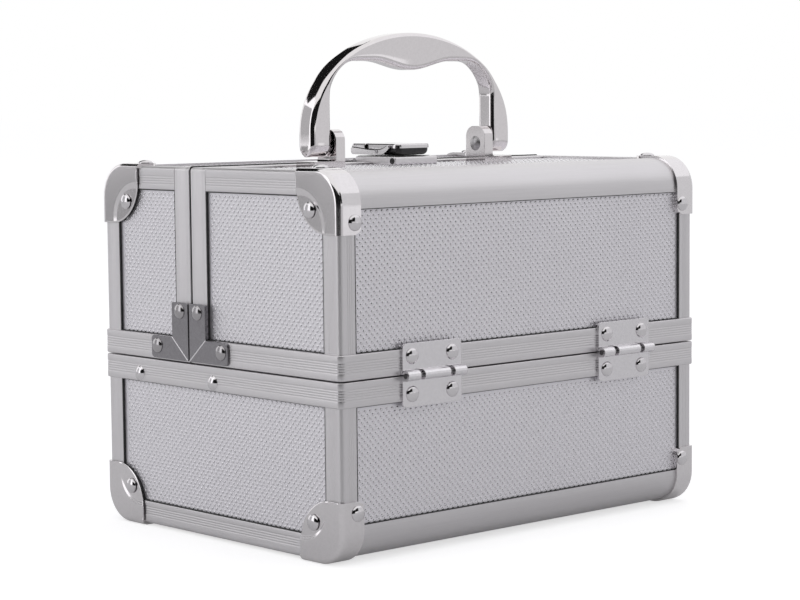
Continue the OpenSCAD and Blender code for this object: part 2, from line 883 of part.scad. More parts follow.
module near_lid_corner_posts() color(frame_col) difference() {
    both_ends() corner_post(lid_bottom + rim_h, case_h - rail_w);
    at_near_rivets() rivet_hole();
}

module near_lid_long_rail() color(frame_col) difference() {
    long_rail();
    at_near_rivets() rivet_hole();
}

module near_lid_end_rails() color(frame_col) difference() {
    both_ends() end_rail(-hy + rail_w, near_edge - split_w);
    at_near_rivets() rivet_hole();
}

module near_lid_split_frame() color(frame_col) difference() {
    split_frame();
    at_near_rivets() rivet_hole();
}

module near_lid_corner_caps() color(chrome_col) both_ends() corner_cap();

module near_lid_brackets() color(steel_col) both_ends() bracket();

module near_lid_lining() color(lining_col)
    lining(-far, near_edge - edge_web, lid_bottom + lip_h, far);

module near_lid_hinge_leaves() color(chrome_col) difference() {
    both_ends() translate([-hinge_x, 0, 0]) hinge_leaf(1);
    at_hinge_rivets(1) rivet_hole();
}

module near_lid_rivets() color(chrome_col) at_near_rivets() rivet(rivet_len);

module mirror_plan(grow) {
    translate([0, mirror_y]) square([mirror_l + 2 * grow, mirror_w + 2 * grow], center = true);
}

module mirror_glass() color(mirror_col)
    along_z(roof_z - mirror_t, roof_z) mirror_plan(0);

module mirror_frame() color(frame_col) difference() {
    along_z(roof_z - mirror_frame_t, roof_z) mirror_plan(mirror_frame_w / 2);
    along_z(roof_z - mirror_t, roof_z + eps) mirror_plan(0);
    along_z(roof_z - mirror_frame_t - eps, roof_z + eps) mirror_plan(-mirror_frame_w / 2);
}

// ---- Far lid ----

module far_lid_boards() color(board_col) difference() {
    mirror([0, 1, 0]) lid_boards(-far_edge);
    at_far_rivets() rivet_hole();
}

module far_lid_skin_front() color(sheet_col) difference() {
    mirror([0, 1, 0]) side_sheet(lid_bottom + rim_h, case_h - rail_w);
    at_far_rivets() rivet_hole();
}

module far_lid_skin_top() color(sheet_col) difference() {
    top_sheet(far_edge + split_w, hy - rail_w);
    at_far_rivets() rivet_hole();
}

module far_lid_skin_ends() color(sheet_col) difference() {
    both_ends() end_sheet(far_edge + split_w, hy - end_w, lid_bottom + rim_h, case_h - end_w);
    at_far_rivets() rivet_hole();
}

module far_lid_rim() color(frame_col) difference() {
    intersection() {
        lid_rim();
        block([-far, far_edge, 0], [far, far, far]);
    }
    at_far_rivets() rivet_hole();
}

module far_lid_corner_posts() color(frame_col) difference() {
    both_ends() mirror([0, 1, 0]) corner_post(lid_bottom + rim_h, case_h - rail_w);
    at_far_rivets() rivet_hole();
}

module far_lid_long_rail() color(frame_col) difference() {
    mirror([0, 1, 0]) long_rail();
    at_far_rivets() rivet_hole();
}

module far_lid_end_rails() color(frame_col) difference() {
    both_ends() end_rail(far_edge + split_w, hy - rail_w);
    at_far_rivets() rivet_hole();
}

module far_lid_split_frame() color(frame_col) difference() {
    to_far() split_frame();
    at_far_rivets() rivet_hole();
}

module far_lid_corner_caps() color(chrome_col) both_ends() mirror([0, 1, 0]) corner_cap();

module far_lid_brackets() color(steel_col) both_ends() to_far() bracket();

module far_lid_lining() color(lining_col)
    lining(far_edge + edge_web, far, lid_bottom + lip_h, far);

module far_lid_hinge_leaves() color(chrome_col) difference() {
    mirror([0, 1, 0]) both_ends() translate([-hinge_x, 0, 0]) hinge_leaf(1);
    mirror([0, 1, 0]) at_hinge_rivets(1) rivet_hole();
}

module far_lid_rivets() color(chrome_col) at_far_rivets() rivet(rivet_len);

// ---- Handle ----

// Ear beside the left leg, its foot under the leg
module handle_bracket() {
    y0 = handle_y - ear_w / 2;
    y1 = handle_y + ear_w / 2;
    difference() {
        union() {
            block([-grip_out, y0, sheet_z], [-ear_in, y1, sheet_z + foot_t]);
            along_x(-ear_out, -ear_in) union() {
                plate([y0, sheet_z], [y1, pivot_z + ear_up - ear_r]);
                plate([y0 + ear_r, sheet_z], [y1 - ear_r, pivot_z + ear_up]);
                for (y = [y0 + ear_r, y1 - ear_r]) translate([y, pivot_z + ear_up - ear_r]) circle(ear_r);
            }
        }
        along_x(-far, far) translate([handle_y, pivot_z]) circle(handle_pin_r + snug);
    }
}

module handle_brackets() color(chrome_col) both_ends() handle_bracket();

module handle_pins() color(chrome_col) both_ends() translate([-ear_in, handle_y, pivot_z])
    rotate([0, 90, 0]) rivet(ear_t + ear_gap + handle_pin_in, shank_r = handle_pin_r);

// Outside of the arch: an ellipse over straight legs, for a from 0 to 180 degrees
function arch_out(a) = [-grip_out * cos(a), pivot_z + leg_h + (grip_top - pivot_z - leg_h) * sin(a)];

// Inside of the arch: straight legs, round corners and a wave for the fingers
grip_in_z = pivot_z + grip_in_h;
function wave(x) = abs(x) > bulge_l / 2 ? 0 : bulge * (1 + cos(360 * x / bulge_l)) / 2;
function corner_in(a) = [-leg_in + grip_in_r * (1 - cos(a)), grip_in_z - grip_in_r * (1 - sin(a))];

// Pairs of outer and inner points from the left leg to the top of the arch
knee = 25;              // where the inner corner starts, in degrees round the outside
crown = 60;             // where the inner corner ends
straight = grip_in_h - grip_in_r - leg_h;
leg_n = 2;              // steps along the straight part of the inside
corner_n = 6;           // steps round its corner
top_n = 8;              // steps from the corner to the middle
leg_rings = [for (i = [-1 : leg_n])
    i < 0 ? [[-grip_out, pivot_z + leg_round], [-leg_in, pivot_z + leg_round]]
          : [arch_out(knee * i / leg_n), [-leg_in, pivot_z + leg_h + straight * i / leg_n]]];
corner_rings = [for (i = [1 : corner_n]) let(t = i / corner_n)
    [arch_out(knee + (crown - knee) * t), corner_in(90 * t)]];
top_rings = [for (i = [1 : top_n]) let(t = i / top_n, x = (-leg_in + grip_in_r) * (1 - t))
    [arch_out(crown + (90 - crown) * t), [x, grip_in_z - wave(x)]]];
half_rings = concat(leg_rings, corner_rings, top_rings);
mirrored = [for (i = [len(half_rings) - 2 : -1 : 0]) [for (p = half_rings[i]) [-p[0], p[1]]]];
rings = concat(half_rings, mirrored);

// Eight corners of the bevelled section between an outer and an inner point
function ring_points(r) = let(
    d = norm(r[1] - r[0]),
    u = (r[1] - r[0]) / d,
    h = grip_d / 2,
    c = grip_bevel,
    flat = [[0, -h + c], [c, -h], [d - c, -h], [d, -h + c], [d, h - c], [d - c, h], [c, h], [0, h - c]])
    [for (q = flat) [r[0][0] + u[0] * q[0], handle_y + q[1], r[0][1] + u[1] * q[0]]];

module handle_arch() {
    n = 8;
    pts = [for (r = rings) each ring_points(r)];
    last = (len(rings) - 1) * n;
    sides = [for (i = [0 : len(rings) - 2], k = [0 : n - 1], t = [0, 1])
        let(a = i * n + k, b = i * n + (k + 1) % n) t == 0 ? [a, b + n, b] : [a, a + n, b + n]];
    caps = [for (k = [1 : n - 2]) each [[0, k, k + 1], [last, last + k + 1, last + k]]];
    polyhedron(pts, concat(sides, caps), convexity = 6);
}

module handle() color(chrome_col) difference() {
    union() {
        handle_arch();
        both_ends() along_x(-grip_out + eps, -leg_in - eps) intersection() {
            translate([handle_y, pivot_z + leg_round]) circle(grip_d / 2 - eps);
            plate([-far, 0], [far, pivot_z + leg_round + eps]);
        }
    }
    both_ends() along_x(-leg_in - handle_pin_in - run, -ear_in)
        translate([handle_y, pivot_z]) circle(handle_pin_r + run);
}

// ---- Latch ----

module latch_base() color(chrome_col) difference() {
    y0 = near_edge - latch_base_l;
    top = case_h + latch_base_t;
    union() {
        block([-latch_half, y0, case_h], [latch_half, near_edge - snug, top]);
        block([-latch_half, y0, sheet_z], [latch_half, near_edge - split_w - snug, top]);
        both_ends() along_x(-latch_ear_x, -latch_ear_x + latch_ear_t) {
            plate([lever_y - latch_ear_r, case_h], [lever_y + latch_ear_r, lever_z]);
            translate([lever_y, lever_z]) circle(latch_ear_r);
        }
        along_x(-latch_half, latch_half) translate([y0, sheet_z + roll_r]) circle(roll_r);
    }
    along_x(-far, far) translate([lever_y, lever_z]) circle(latch_pin_r + run);
}

// Outline of the finger lever from above, with a wall of a given thickness taken off
module lever_plan(wall, back) {
    front = lever_y - lever_l;
    side = lever_half - finger_r;
    plate([-lever_half + wall, front + finger_r], [lever_half - wall, back]);
    plate([-side, front + wall], [side, front + 2 * finger_r]);
    for (s = [-1, 1]) translate([s * side, front + finger_r]) circle(finger_r - wall);
}

// Finger lever: a sheet with a skirt round its front and sides, rounded under its pivot
module latch_lever() color(chrome_col) difference() {
    back = lever_y + lever_tail;
    top = lever_z + lever_rise;
    intersection() {
        difference() {
            along_z(link_pin_z - skirt_drop, top) lever_plan(0, back);
            along_z(0, top - lever_t) lever_plan(lever_t, back + far);
        }
        along_x(-far, far) {
            plate([-far, 0], [lever_y, far]);
            plate([-far, lever_z], [far, far]);
            translate([lever_y, lever_z]) circle(lever_tail);
        }
    }
    along_x(-far, far) translate([lever_y, lever_z]) circle(latch_pin_r + snug);
    along_x(-far, far) translate([link_pin_y, link_pin_z]) circle(latch_pin_r + snug);
}

// Short pins on both sides: the lever's in the ears and the link's in the link's arms
module latch_pins() color(steel_col) both_ends() {
    along_x(-lever_half - link_gap / 2, -latch_ear_x + latch_ear_t) translate([lever_y, lever_z])
        circle(latch_pin_r);
    along_x(-link_out - link_gap, -lever_half + lever_t) translate([link_pin_y, link_pin_z])
        circle(latch_pin_r);
}

// Link over the split: two arms beside the lever, and a hooked cap behind it
module latch_link() color(chrome_col) difference() {
    tip = near_edge + link_reach;
    cap_start = lever_y + lever_tail + link_slot;
    under = case_h + link_up;
    strip = under + link_t;
    top = lever_z + lever_rise;
    union() {
        block([-link_out, tip - link_strip_w, under], [link_out, tip, strip]);
        block([-link_out, tip - link_t, under], [link_out, tip, top]);
        block([-link_out, cap_start, top - link_t], [link_out, tip, top]);
        both_ends() along_x(-link_out, -link_out + link_t) {
            plate([link_pin_y, under], [tip, strip + link_arm_up]);
            plate([cap_start, under], [tip, top]);
            translate([link_pin_y, link_pin_z]) {
                circle(link_eye_r);
                rotate(-link_nose_slope) plate([-link_nose_l, -link_nose_w / 2], [0, link_nose_w / 2]);
            }
            translate([(link_pin_y + tip) / 2, under]) circle(link_bulge_r);
        }
    }
    along_x(-far, far) translate([link_pin_y, link_pin_z]) circle(latch_pin_r + run);
}

module latch_catch() color(chrome_col) block([-lever_half, far_edge + catch_in, case_h],
    [lever_half, far_edge + catch_in + catch_l, case_h + catch_t]);

// ---- Tray and its arms ----

// Arm at the left end from its lower pivot at y
module arm(y) {
    up = [arm_l * cos(arm_rest), arm_l * sin(arm_rest)];
    along_x(-arm_x, -arm_x + arm_t) translate([y, arm_z]) difference() {
        union() {
            circle(arm_w / 2);
            translate(up) circle(arm_w / 2);
            rotate(arm_rest) translate([0, -arm_w / 2]) square([arm_l, arm_w]);
        }
        circle(arm_pin_r + run);
        translate(up) circle(arm_pin_r + run);
    }
}

module tray_arms_inner() color(steel_col) both_ends() arm(arm_y);

module tray_arms_outer() color(steel_col) both_ends() arm(arm_y + arm_pitch);

// The places of the tray's pins at the left end
module at_tray_pins() {
    for (k = [0, 1]) translate([0, tray_pin_y + k * arm_pitch, tray_pin_z]) children();
}

module tray() color(lining_col) difference() {
    block([-tray_x, tray_y0, tray_z0], [tray_x, tray_y1, tray_z1]);
    block([-tray_x + tray_t, tray_y0 + tray_t, tray_z0 + tray_t],
          [tray_x - tray_t, tray_y1 - tray_t, tray_z1 + eps]);
    at_tray_pins() rotate([0, 90, 0]) translate([0, 0, -far]) cylinder(r = arm_pin_r + snug, h = 2 * far);
}

module tray_trim() color(frame_col) difference() {
    block([-tray_x - trim_t, tray_y0 - trim_t, tray_z1 - trim_h],
          [tray_x + trim_t, tray_y1 + trim_t, tray_z1 + trim_t]);
    block([-tray_x, tray_y0, tray_z1 - trim_h - eps], [tray_x, tray_y1, tray_z1]);
    block([-tray_x + tray_t, tray_y0 + tray_t, tray_z0], [tray_x - tray_t, tray_y1 - tray_t, far]);
}

module tray_dividers() color(lining_col)
    for (i = [1 : divider_n]) {
        x = -tray_x + tray_t + i * 2 * (tray_x - tray_t) / (divider_n + 1);
        block([x - divider_t / 2, tray_y0 + tray_t, tray_z0 + tray_t],
              [x + divider_t / 2, tray_y1 - tray_t, tray_z1 - trim_h]);
    }

module tray_pins() color(chrome_col) both_ends() at_tray_pins() rotate([0, 90, 0]) {
    translate([0, 0, -arm_x - run - pin_head_t]) cylinder(r = pin_head_r, h = pin_head_t);
    translate([0, 0, -arm_x - run]) cylinder(r = arm_pin_r, h = arm_x + run - tray_x + tray_t);
    translate([0, 0, -tray_x - tray_gap + run]) cylinder(r = pin_head_r, h = tray_gap - run);
    translate([0, 0, -tray_x + tray_t]) cylinder(r = pin_head_r, h = pin_head_t);
}

base_boards();
base_skin_near();
base_skin_far();
base_skin_ends();
base_skin_bottom();
base_rim();
base_corner_posts();
base_long_rails();
base_end_rails();
base_corner_caps();
base_lining();
base_hinge_leaves();
hinge_pins();
base_rivets();
arm_pivot_pins();
near_lid_boards();
near_lid_skin_front();
near_lid_skin_top();
near_lid_skin_ends();
near_lid_rim();
near_lid_corner_posts();
near_lid_long_rail();
near_lid_end_rails();
near_lid_split_frame();
near_lid_corner_caps();
near_lid_brackets();
near_lid_lining();
near_lid_hinge_leaves();
near_lid_rivets();
mirror_glass();
mirror_frame();
handle_brackets();
handle_pins();
latch_base();
far_lid_boards();
far_lid_skin_front();
far_lid_skin_top();
far_lid_skin_ends();
far_lid_rim();
far_lid_corner_posts();
far_lid_long_rail();
far_lid_end_rails();
far_lid_split_frame();
far_lid_corner_caps();
far_lid_brackets();
far_lid_lining();
far_lid_hinge_leaves();
far_lid_rivets();
latch_catch();
handle();
latch_lever();
latch_pins();
latch_link();
tray_arms_inner();
tray_arms_outer();
tray();
tray_trim();
tray_dividers();
tray_pins();
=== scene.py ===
"""Looks of a small hard makeup case with two lids, a carrying handle and a draw latch.

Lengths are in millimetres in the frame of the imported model, and become metres when a mesh
is made. The long side lies along X, the depth along Y, and +Z is up. The origin is on the
floor under the middle of the closed case.
"""

import json
import logging
from collections.abc import Callable, Sequence
from dataclasses import dataclass
from enum import Enum

import bmesh
import bpy
import numpy as np
from mathutils import Matrix


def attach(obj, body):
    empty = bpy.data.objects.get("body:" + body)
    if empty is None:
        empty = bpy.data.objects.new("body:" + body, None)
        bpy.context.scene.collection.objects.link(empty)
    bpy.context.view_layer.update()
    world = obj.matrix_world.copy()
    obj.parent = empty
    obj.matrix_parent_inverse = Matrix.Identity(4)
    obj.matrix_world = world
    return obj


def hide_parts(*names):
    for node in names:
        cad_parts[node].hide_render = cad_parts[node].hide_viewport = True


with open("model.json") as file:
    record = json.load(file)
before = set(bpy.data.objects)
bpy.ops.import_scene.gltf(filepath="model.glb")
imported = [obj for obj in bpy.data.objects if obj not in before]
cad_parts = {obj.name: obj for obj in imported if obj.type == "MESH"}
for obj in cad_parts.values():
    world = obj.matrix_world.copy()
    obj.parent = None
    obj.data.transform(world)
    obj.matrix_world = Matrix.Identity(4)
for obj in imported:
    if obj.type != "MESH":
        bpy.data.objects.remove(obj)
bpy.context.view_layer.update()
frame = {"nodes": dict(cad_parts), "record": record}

MM = 0.001
QUARTER = np.pi / 2
MERGE = 0.002
BEVEL_STEPS = 3
BEVEL_ANGLE = 40.0
LOG = logging.getLogger("makeup_case")


# ---- Surfaces ----


def unit(angles: np.ndarray) -> np.ndarray:
    """Points (cos a, sin a) of the unit circle."""
    return np.stack([np.cos(angles), np.sin(angles)], -1)


def direction(vector: np.ndarray) -> np.ndarray:
    """The vector at length 1."""
    return vector / np.linalg.norm(vector)


def smooth_step(x: np.ndarray) -> np.ndarray:
    """3 x squared - 2 x cubed between 0 and 1, and flat outside."""
    x = np.clip(x, 0, 1)
    return x * x * (3 - 2 * x)


def round_drop(distance: np.ndarray, radius: float) -> np.ndarray:
    """How far a rounded corner falls short: radius - sqrt(radius^2 - (radius - distance)^2)."""
    near = np.clip(radius - distance, 0, None)
    return radius - np.sqrt(np.clip(radius ** 2 - near ** 2, 0, None))


def upright(xz: np.ndarray, y: np.ndarray) -> np.ndarray:
    """Points (x, y, z) from an array of (x, z) and one of y."""
    return np.stack([xz[..., 0], np.broadcast_to(y, xz.shape[:-1]), xz[..., 1]], -1)


def rounded_outline(corners: Sequence[tuple[float, float, float]], steps: int = 6) -> np.ndarray:
    """A polygon whose corners are arcs tangent to both sides.

    With half the corner's angle h, and t1 and t2 the directions to the two neighbours, the
    arc's centre is radius / sin(h) from the corner along t1 + t2, and the arc runs between
    the points radius / tan(h) from the corner along t1 and along t2.

    Args:
        corners: (p, q, radius) for each corner, in order.
        steps: Steps along each arc.

    Returns:
        Array (n, 2) of the outline.
    """
    spot = np.array([c[:2] for c in corners], float)
    out = []
    for here, back, on, corner in zip(spot, np.roll(spot, 1, 0), np.roll(spot, -1, 0), corners):
        radius = corner[2]
        if radius <= 0:
            out.append(here[None])
            continue
        t1, t2 = direction(back - here), direction(on - here)
        half = 0.5 * np.arccos(np.clip(t1 @ t2, -1, 1))
        middle = here + direction(t1 + t2) * radius / np.sin(half)
        start, end = (here + t * radius / np.tan(half) - middle for t in (t1, t2))
        first = np.arctan2(start[1], start[0])
        turn = (np.arctan2(end[1], end[0]) - first + np.pi) % (2 * np.pi) - np.pi
        out.append(middle + radius * unit(first + turn * np.linspace(0, 1, steps + 1)))
    return np.vstack(out)


@dataclass
class Shell:
    """A surface: its points and its faces, grouped by their number of corners."""

    points: np.ndarray
    faces: list[np.ndarray]

    @staticmethod
    def grid(points: np.ndarray, close_u: bool = False, close_v: bool = False) -> "Shell":
        """Joins a grid of points into quads that face along du x dv.

        Args:
            points: Array (rows, columns, 3). Rows follow u and columns follow v.
            close_u: Whether the last row joins the first.
            close_v: Whether the last column joins the first.

        Returns:
            The surface through the grid.
        """
        rows, cols = points.shape[:2]
        index = np.arange(rows * cols).reshape(rows, cols)
        if close_u:
            index = np.vstack([index, index[:1]])
        if close_v:
            index = np.hstack([index, index[:, :1]])
        quads = np.stack([index[:-1, :-1], index[1:, :-1], index[1:, 1:], index[:-1, 1:]], -1)
        return Shell(points.reshape(-1, 3), [quads.reshape(-1, 4)])

    @staticmethod
    def tube(rings: np.ndarray, close: bool = False) -> "Shell":
        """Joins the closed sections along a path, with end faces unless it is a loop.

        Args:
            rings: Array (places, section points, 3).
            close: Whether the path is a loop.

        Returns:
            The closed surface.
        """
        shell = Shell.grid(rings, close_u=close, close_v=True)
        if close:
            return shell
        first = np.arange(rings.shape[1])
        last = first[::-1] + (len(rings) - 1) * len(first)
        return Shell(shell.points, [*shell.faces, first[None], last[None]])

    @staticmethod
    def stack(rings: np.ndarray, heights: np.ndarray) -> "Shell":
        """A tube through flat rings (places, points, 2), each at its own height."""
        level = np.broadcast_to(heights[:, None], rings.shape[:2])
        return Shell.tube(np.dstack([rings, level]))

    @staticmethod
    def prism(outline: np.ndarray, low: float, high: float, axis: int) -> "Shell":
        """Carries a closed outline along an axis: two flat ends and a wall of quads.

        Args:
            outline: Array (n, 2) in the two other axes, in the order Y Z, X Z or X Y.
            low: Where the prism starts on the axis.
            high: Where it ends.
            axis: 0, 1 or 2 for X, Y or Z.

        Returns:
            The closed prism.
        """
        a = np.arange(len(outline))
        b = np.roll(a, -1)
        ends = np.repeat([low, high], len(a))
        wall = np.stack([a, b, b + len(a), a + len(a)], 1)
        return Shell(np.insert(np.tile(outline, (2, 1)), axis, ends, axis=1),
                     [wall, a[None, ::-1], a[None] + len(a)])

    @staticmethod
    def join(shells: list["Shell"]) -> "Shell":
        """Puts several surfaces into one.

        Args:
            shells: The surfaces, in order.

        Returns:
            The surface of all of them.
        """
        starts = np.cumsum([0] + [len(s.points) for s in shells[:-1]])
        faces = [f + start for s, start in zip(shells, starts) for f in s.faces]
        return Shell(np.vstack([s.points for s in shells]), faces)

    def mirrored(self, axis: int, about: float = 0.0) -> "Shell":
        """The mirror image across a plane, with its faces turned to stay outside.

        Args:
            axis: 0, 1 or 2 for X, Y or Z.
            about: Where the plane lies on that axis.

        Returns:
            The mirrored surface.
        """
        points = self.points.copy()
        points[:, axis] = 2 * about - points[:, axis]
        return Shell(points, [f[:, ::-1] for f in self.faces])

    def with_mirror(self, axis: int) -> "Shell":
        """The surface and its mirror image about the origin together."""
        return Shell.join([self, self.mirrored(axis)])

    def moved(self, x: float = 0.0, y: float = 0.0, z: float = 0.0) -> "Shell":
        """The same surface in another place."""
        return Shell(self.points + np.array([x, y, z]), self.faces)

    def on_wall(self, axis: int, sign: float, offset: float = 0.0) -> "Shell":
        """Turns a surface that stands on the plane z = 0 to a wall of the case.

        Args:
            axis: The wall's normal axis. The surface's own x and y become the two others.
            sign: 1 or -1 for the normal's direction.
            offset: Distance of the wall from the origin along the axis.

        Returns:
            The surface on the wall.
        """
        lift = offset + sign * self.points[:, 2]
        flip = (sign > 0) == (axis == 1)
        return Shell(np.insert(self.points[:, :2], axis, lift, axis=1),
                     [f[:, ::-1] for f in self.faces] if flip else self.faces)


# ---- Finishes ----

# Scale of the fine noise along a drawn line, across it, and where there are no lines.
ALONG, ACROSS, EVEN = 30.0, 2600.0, 900.0
SMUDGE_SCALE = 35.0
LEAST_ROUGH = 0.02
BUMP_DEPTH = 0.05


class Run(Enum):
    """Which way the drawn lines of an extrusion run: the noise's scale on X, Y and Z."""

    AROUND = (ALONG, ALONG, ACROSS)
    UP = (ACROSS, ACROSS, ALONG)
    LONG = (ALONG, ACROSS, ACROSS)
    DEEP = (ACROSS, ALONG, ACROSS)
    ARCH = (ALONG, ACROSS, ALONG)
    NONE = (EVEN, EVEN, EVEN)


def fresh_nodes(owner: bpy.types.Material | bpy.types.World) -> tuple[Callable, Callable]:
    """Clears the nodes of a material or world.

    Args:
        owner: The material or world.

    Returns:
        The functions that add a node and a link to it.
    """
    owner.use_nodes = True
    tree = owner.node_tree
    tree.nodes.clear()
    return tree.nodes.new, tree.links.new


def noise_group() -> bpy.types.NodeTree:
    """Fractal noise on scaled coordinates, stretched between two limits to 0..1.

    Returns:
        The shader group that all finishes share. It is built once.
    """
    name = "surface_noise"
    if name in bpy.data.node_groups:
        return bpy.data.node_groups[name]
    tree = bpy.data.node_groups.new(name, "ShaderNodeTree")
    socket = tree.interface.new_socket
    socket("Vector", in_out="INPUT", socket_type="NodeSocketVector")
    for label, value in (("Scale", 1.0), ("Detail", 3.0), ("Low", 0.35), ("High", 0.65)):
        socket(label, in_out="INPUT", socket_type="NodeSocketFloat").default_value = value
    socket("Value", in_out="OUTPUT", socket_type="NodeSocketFloat")
    add, link = tree.nodes.new, tree.links.new
    ins, outs = add("NodeGroupInput").outputs, add("NodeGroupOutput").inputs
    noise, ramp = add("ShaderNodeTexNoise"), add("ShaderNodeMapRange")
    for label in ("Vector", "Scale", "Detail"):
        link(ins[label], noise.inputs[label])
    link(noise.outputs["Fac"], ramp.inputs["Value"])
    link(ins["Low"], ramp.inputs["From Min"])
    link(ins["High"], ramp.inputs["From Max"])
    link(ramp.outputs["Result"], outs["Value"])
    return tree


@dataclass(frozen=True)
class Finish:
    """A surface finish, and the material slot of the record that it stands for."""

    name: str
    slot: str
    colour: tuple[float, float, float]
    roughness: float
    metallic: float = 1.0
    run: Run = Run.NONE
    line_bump: float = 0.0
    tint: float = 0.06
    smudge: float = 0.06
    sheen: float = 0.0
    soft_edge: float = 0.0

    def material(self) -> bpy.types.Material:
        """Builds the material once and gives it back each time.

        The fine noise, scaled along the finish's run, shades the colour and lifts the
        bump. The broad noise spreads the roughness like handling marks.

        Returns:
            The material.
        """
        if self.name in bpy.data.materials:
            return bpy.data.materials[self.name]
        material = bpy.data.materials.new(self.name)
        add, link = fresh_nodes(material)
        shader, out = add("ShaderNodeBsdfPrincipled"), add("ShaderNodeOutputMaterial")
        link(shader.outputs["BSDF"], out.inputs["Surface"])
        shader.inputs["Metallic"].default_value = self.metallic
        shader.inputs["Sheen Weight"].default_value = self.sheen

        where, stretch = add("ShaderNodeTexCoord"), add("ShaderNodeMapping")
        fine, broad = add("ShaderNodeGroup"), add("ShaderNodeGroup")
        fine.node_tree = broad.node_tree = noise_group()
        stretch.inputs["Scale"].default_value = self.run.value
        broad.inputs["Scale"].default_value = SMUDGE_SCALE
        link(where.outputs["Object"], stretch.inputs["Vector"])
        link(stretch.outputs["Vector"], fine.inputs["Vector"])
        link(where.outputs["Object"], broad.inputs["Vector"])

        # A Mix node's colours are its sockets 6 and 7, and the mixed one is its output 2.
        colour = add("ShaderNodeMix")
        colour.data_type = "RGBA"
        for socket, gain in ((6, 1 - self.tint), (7, 1 + self.tint)):
            shade = [min(1.0, c * gain) for c in self.colour]
            colour.inputs[socket].default_value = (*shade, 1)
        link(fine.outputs["Value"], colour.inputs[0])
        link(colour.outputs[2], shader.inputs["Base Color"])

        rough = add("ShaderNodeMapRange")
        rough.inputs["To Min"].default_value = max(LEAST_ROUGH, self.roughness - self.smudge / 2)
        rough.inputs["To Max"].default_value = self.roughness + self.smudge / 2
        link(broad.outputs["Value"], rough.inputs["Value"])
        link(rough.outputs["Result"], shader.inputs["Roughness"])

        normal = None
        if self.soft_edge:
            edge = add("ShaderNodeBevel")
            edge.inputs["Radius"].default_value = self.soft_edge * MM
            normal = edge.outputs["Normal"]
        if self.line_bump:
            bump = add("ShaderNodeBump")
            bump.inputs["Strength"].default_value = self.line_bump
            bump.inputs["Distance"].default_value = BUMP_DEPTH * MM
            link(fine.outputs["Value"], bump.inputs["Height"])
            if normal:
                link(normal, bump.inputs["Normal"])
            normal = bump.outputs["Normal"]
        if normal:
            link(normal, shader.inputs["Normal"])
        return material


def extrusion(run: Run) -> Finish:
    """Satin aluminium whose drawn lines run along the profile."""
    return Finish(f"satin_aluminium_{run.name.lower()}", "frame", (0.695, 0.677, 0.69), 0.4,
                  run=run, line_bump=0.06, tint=0.018, smudge=0.03)


SHEET = Finish("dimpled_sheet", "sheet", (0.79, 0.772, 0.81), 0.42, 0.85, tint=0.02,
               line_bump=0.05)
DOT = Finish("sheet_dimples", "sheet", (0.71, 0.695, 0.72), 0.22, 0.97, tint=0.03)
CAP_CHROME = Finish("cap_chrome", "cap", (0.77, 0.745, 0.755), 0.11, tint=0.02, smudge=0.04)
GRIP_CHROME = Finish("grip_chrome", "handle", (0.76, 0.73, 0.735), 0.07, tint=0.02, smudge=0.04)
SHELF_CHROME = Finish("shelf_chrome", "latch", (0.74, 0.72, 0.73), 0.3, tint=0.02)
LATCH_CHROME = Finish("latch_chrome", "latch", (0.74, 0.72, 0.73), 0.08, tint=0.02)
HINGE_NICKEL = Finish("hinge_nickel", "hinge", (0.80, 0.78, 0.80), 0.18, tint=0.03,
                      soft_edge=0.25)
RIVET_NICKEL = Finish("rivet_nickel", "rivet", (0.72, 0.70, 0.715), 0.1, tint=0.03)
PLATE_RIVET = Finish("plate_rivet_nickel", "rivet", (0.44, 0.425, 0.435), 0.16, tint=0.03)
DARK_STEEL = Finish("dark_steel", "bracket", (0.31, 0.30, 0.315), 0.22, line_bump=0.08)
ARM_STEEL = Finish("arm_steel", "arm", (0.42, 0.42, 0.44), 0.34, line_bump=0.1, soft_edge=0.15)
# Steel pins, painted darker than steel for the shade in the hinges' gaps between the knuckles.
SHADED_PIN_STEEL = Finish("pin_steel_painted_shade", "pin", (0.20, 0.195, 0.20), 0.3)
DULL_STEEL = Finish("dull_steel", "pin", (0.40, 0.39, 0.40), 0.34)
BOARD = Finish("fibreboard", "board", (0.24, 0.15, 0.08), 0.8, 0.0, tint=0.35, line_bump=0.5)
FLOCK = Finish("black_flock", "lining", (0.012, 0.012, 0.014), 0.95, 0.0, tint=0.5,
               line_bump=0.9, sheen=0.35)
TRAY_PLASTIC = Finish("tray_plastic", "tray", (0.02, 0.02, 0.022), 0.42, 0.0, tint=0.2,
                      line_bump=0.35)
# Near-black painted shadow: dark strips for the shaded gaps round the sheets, between the lids and
# under the caps' free edges.
SHADOW_GAP_BLACK = Finish("painted_shadow_gap_black", "lining", (0.015, 0.015, 0.016), 0.6, 0.0, tint=0.3,
                     line_bump=0.2)
# Near-black for the roll pin's ends, and for painted shade under the lever's nose, over the link's
# arms and on the latch's base.
DARK_PIN_AND_SHADE = Finish("lever_pad", "tray", (0.012, 0.011, 0.012), 0.28, 0.0, tint=0.3,
                   line_bump=0.1)
SILVER_GLASS = Finish("silver_glass", "mirror", (0.86, 0.88, 0.88), 0.03, tint=0.01,
                      smudge=0.02)


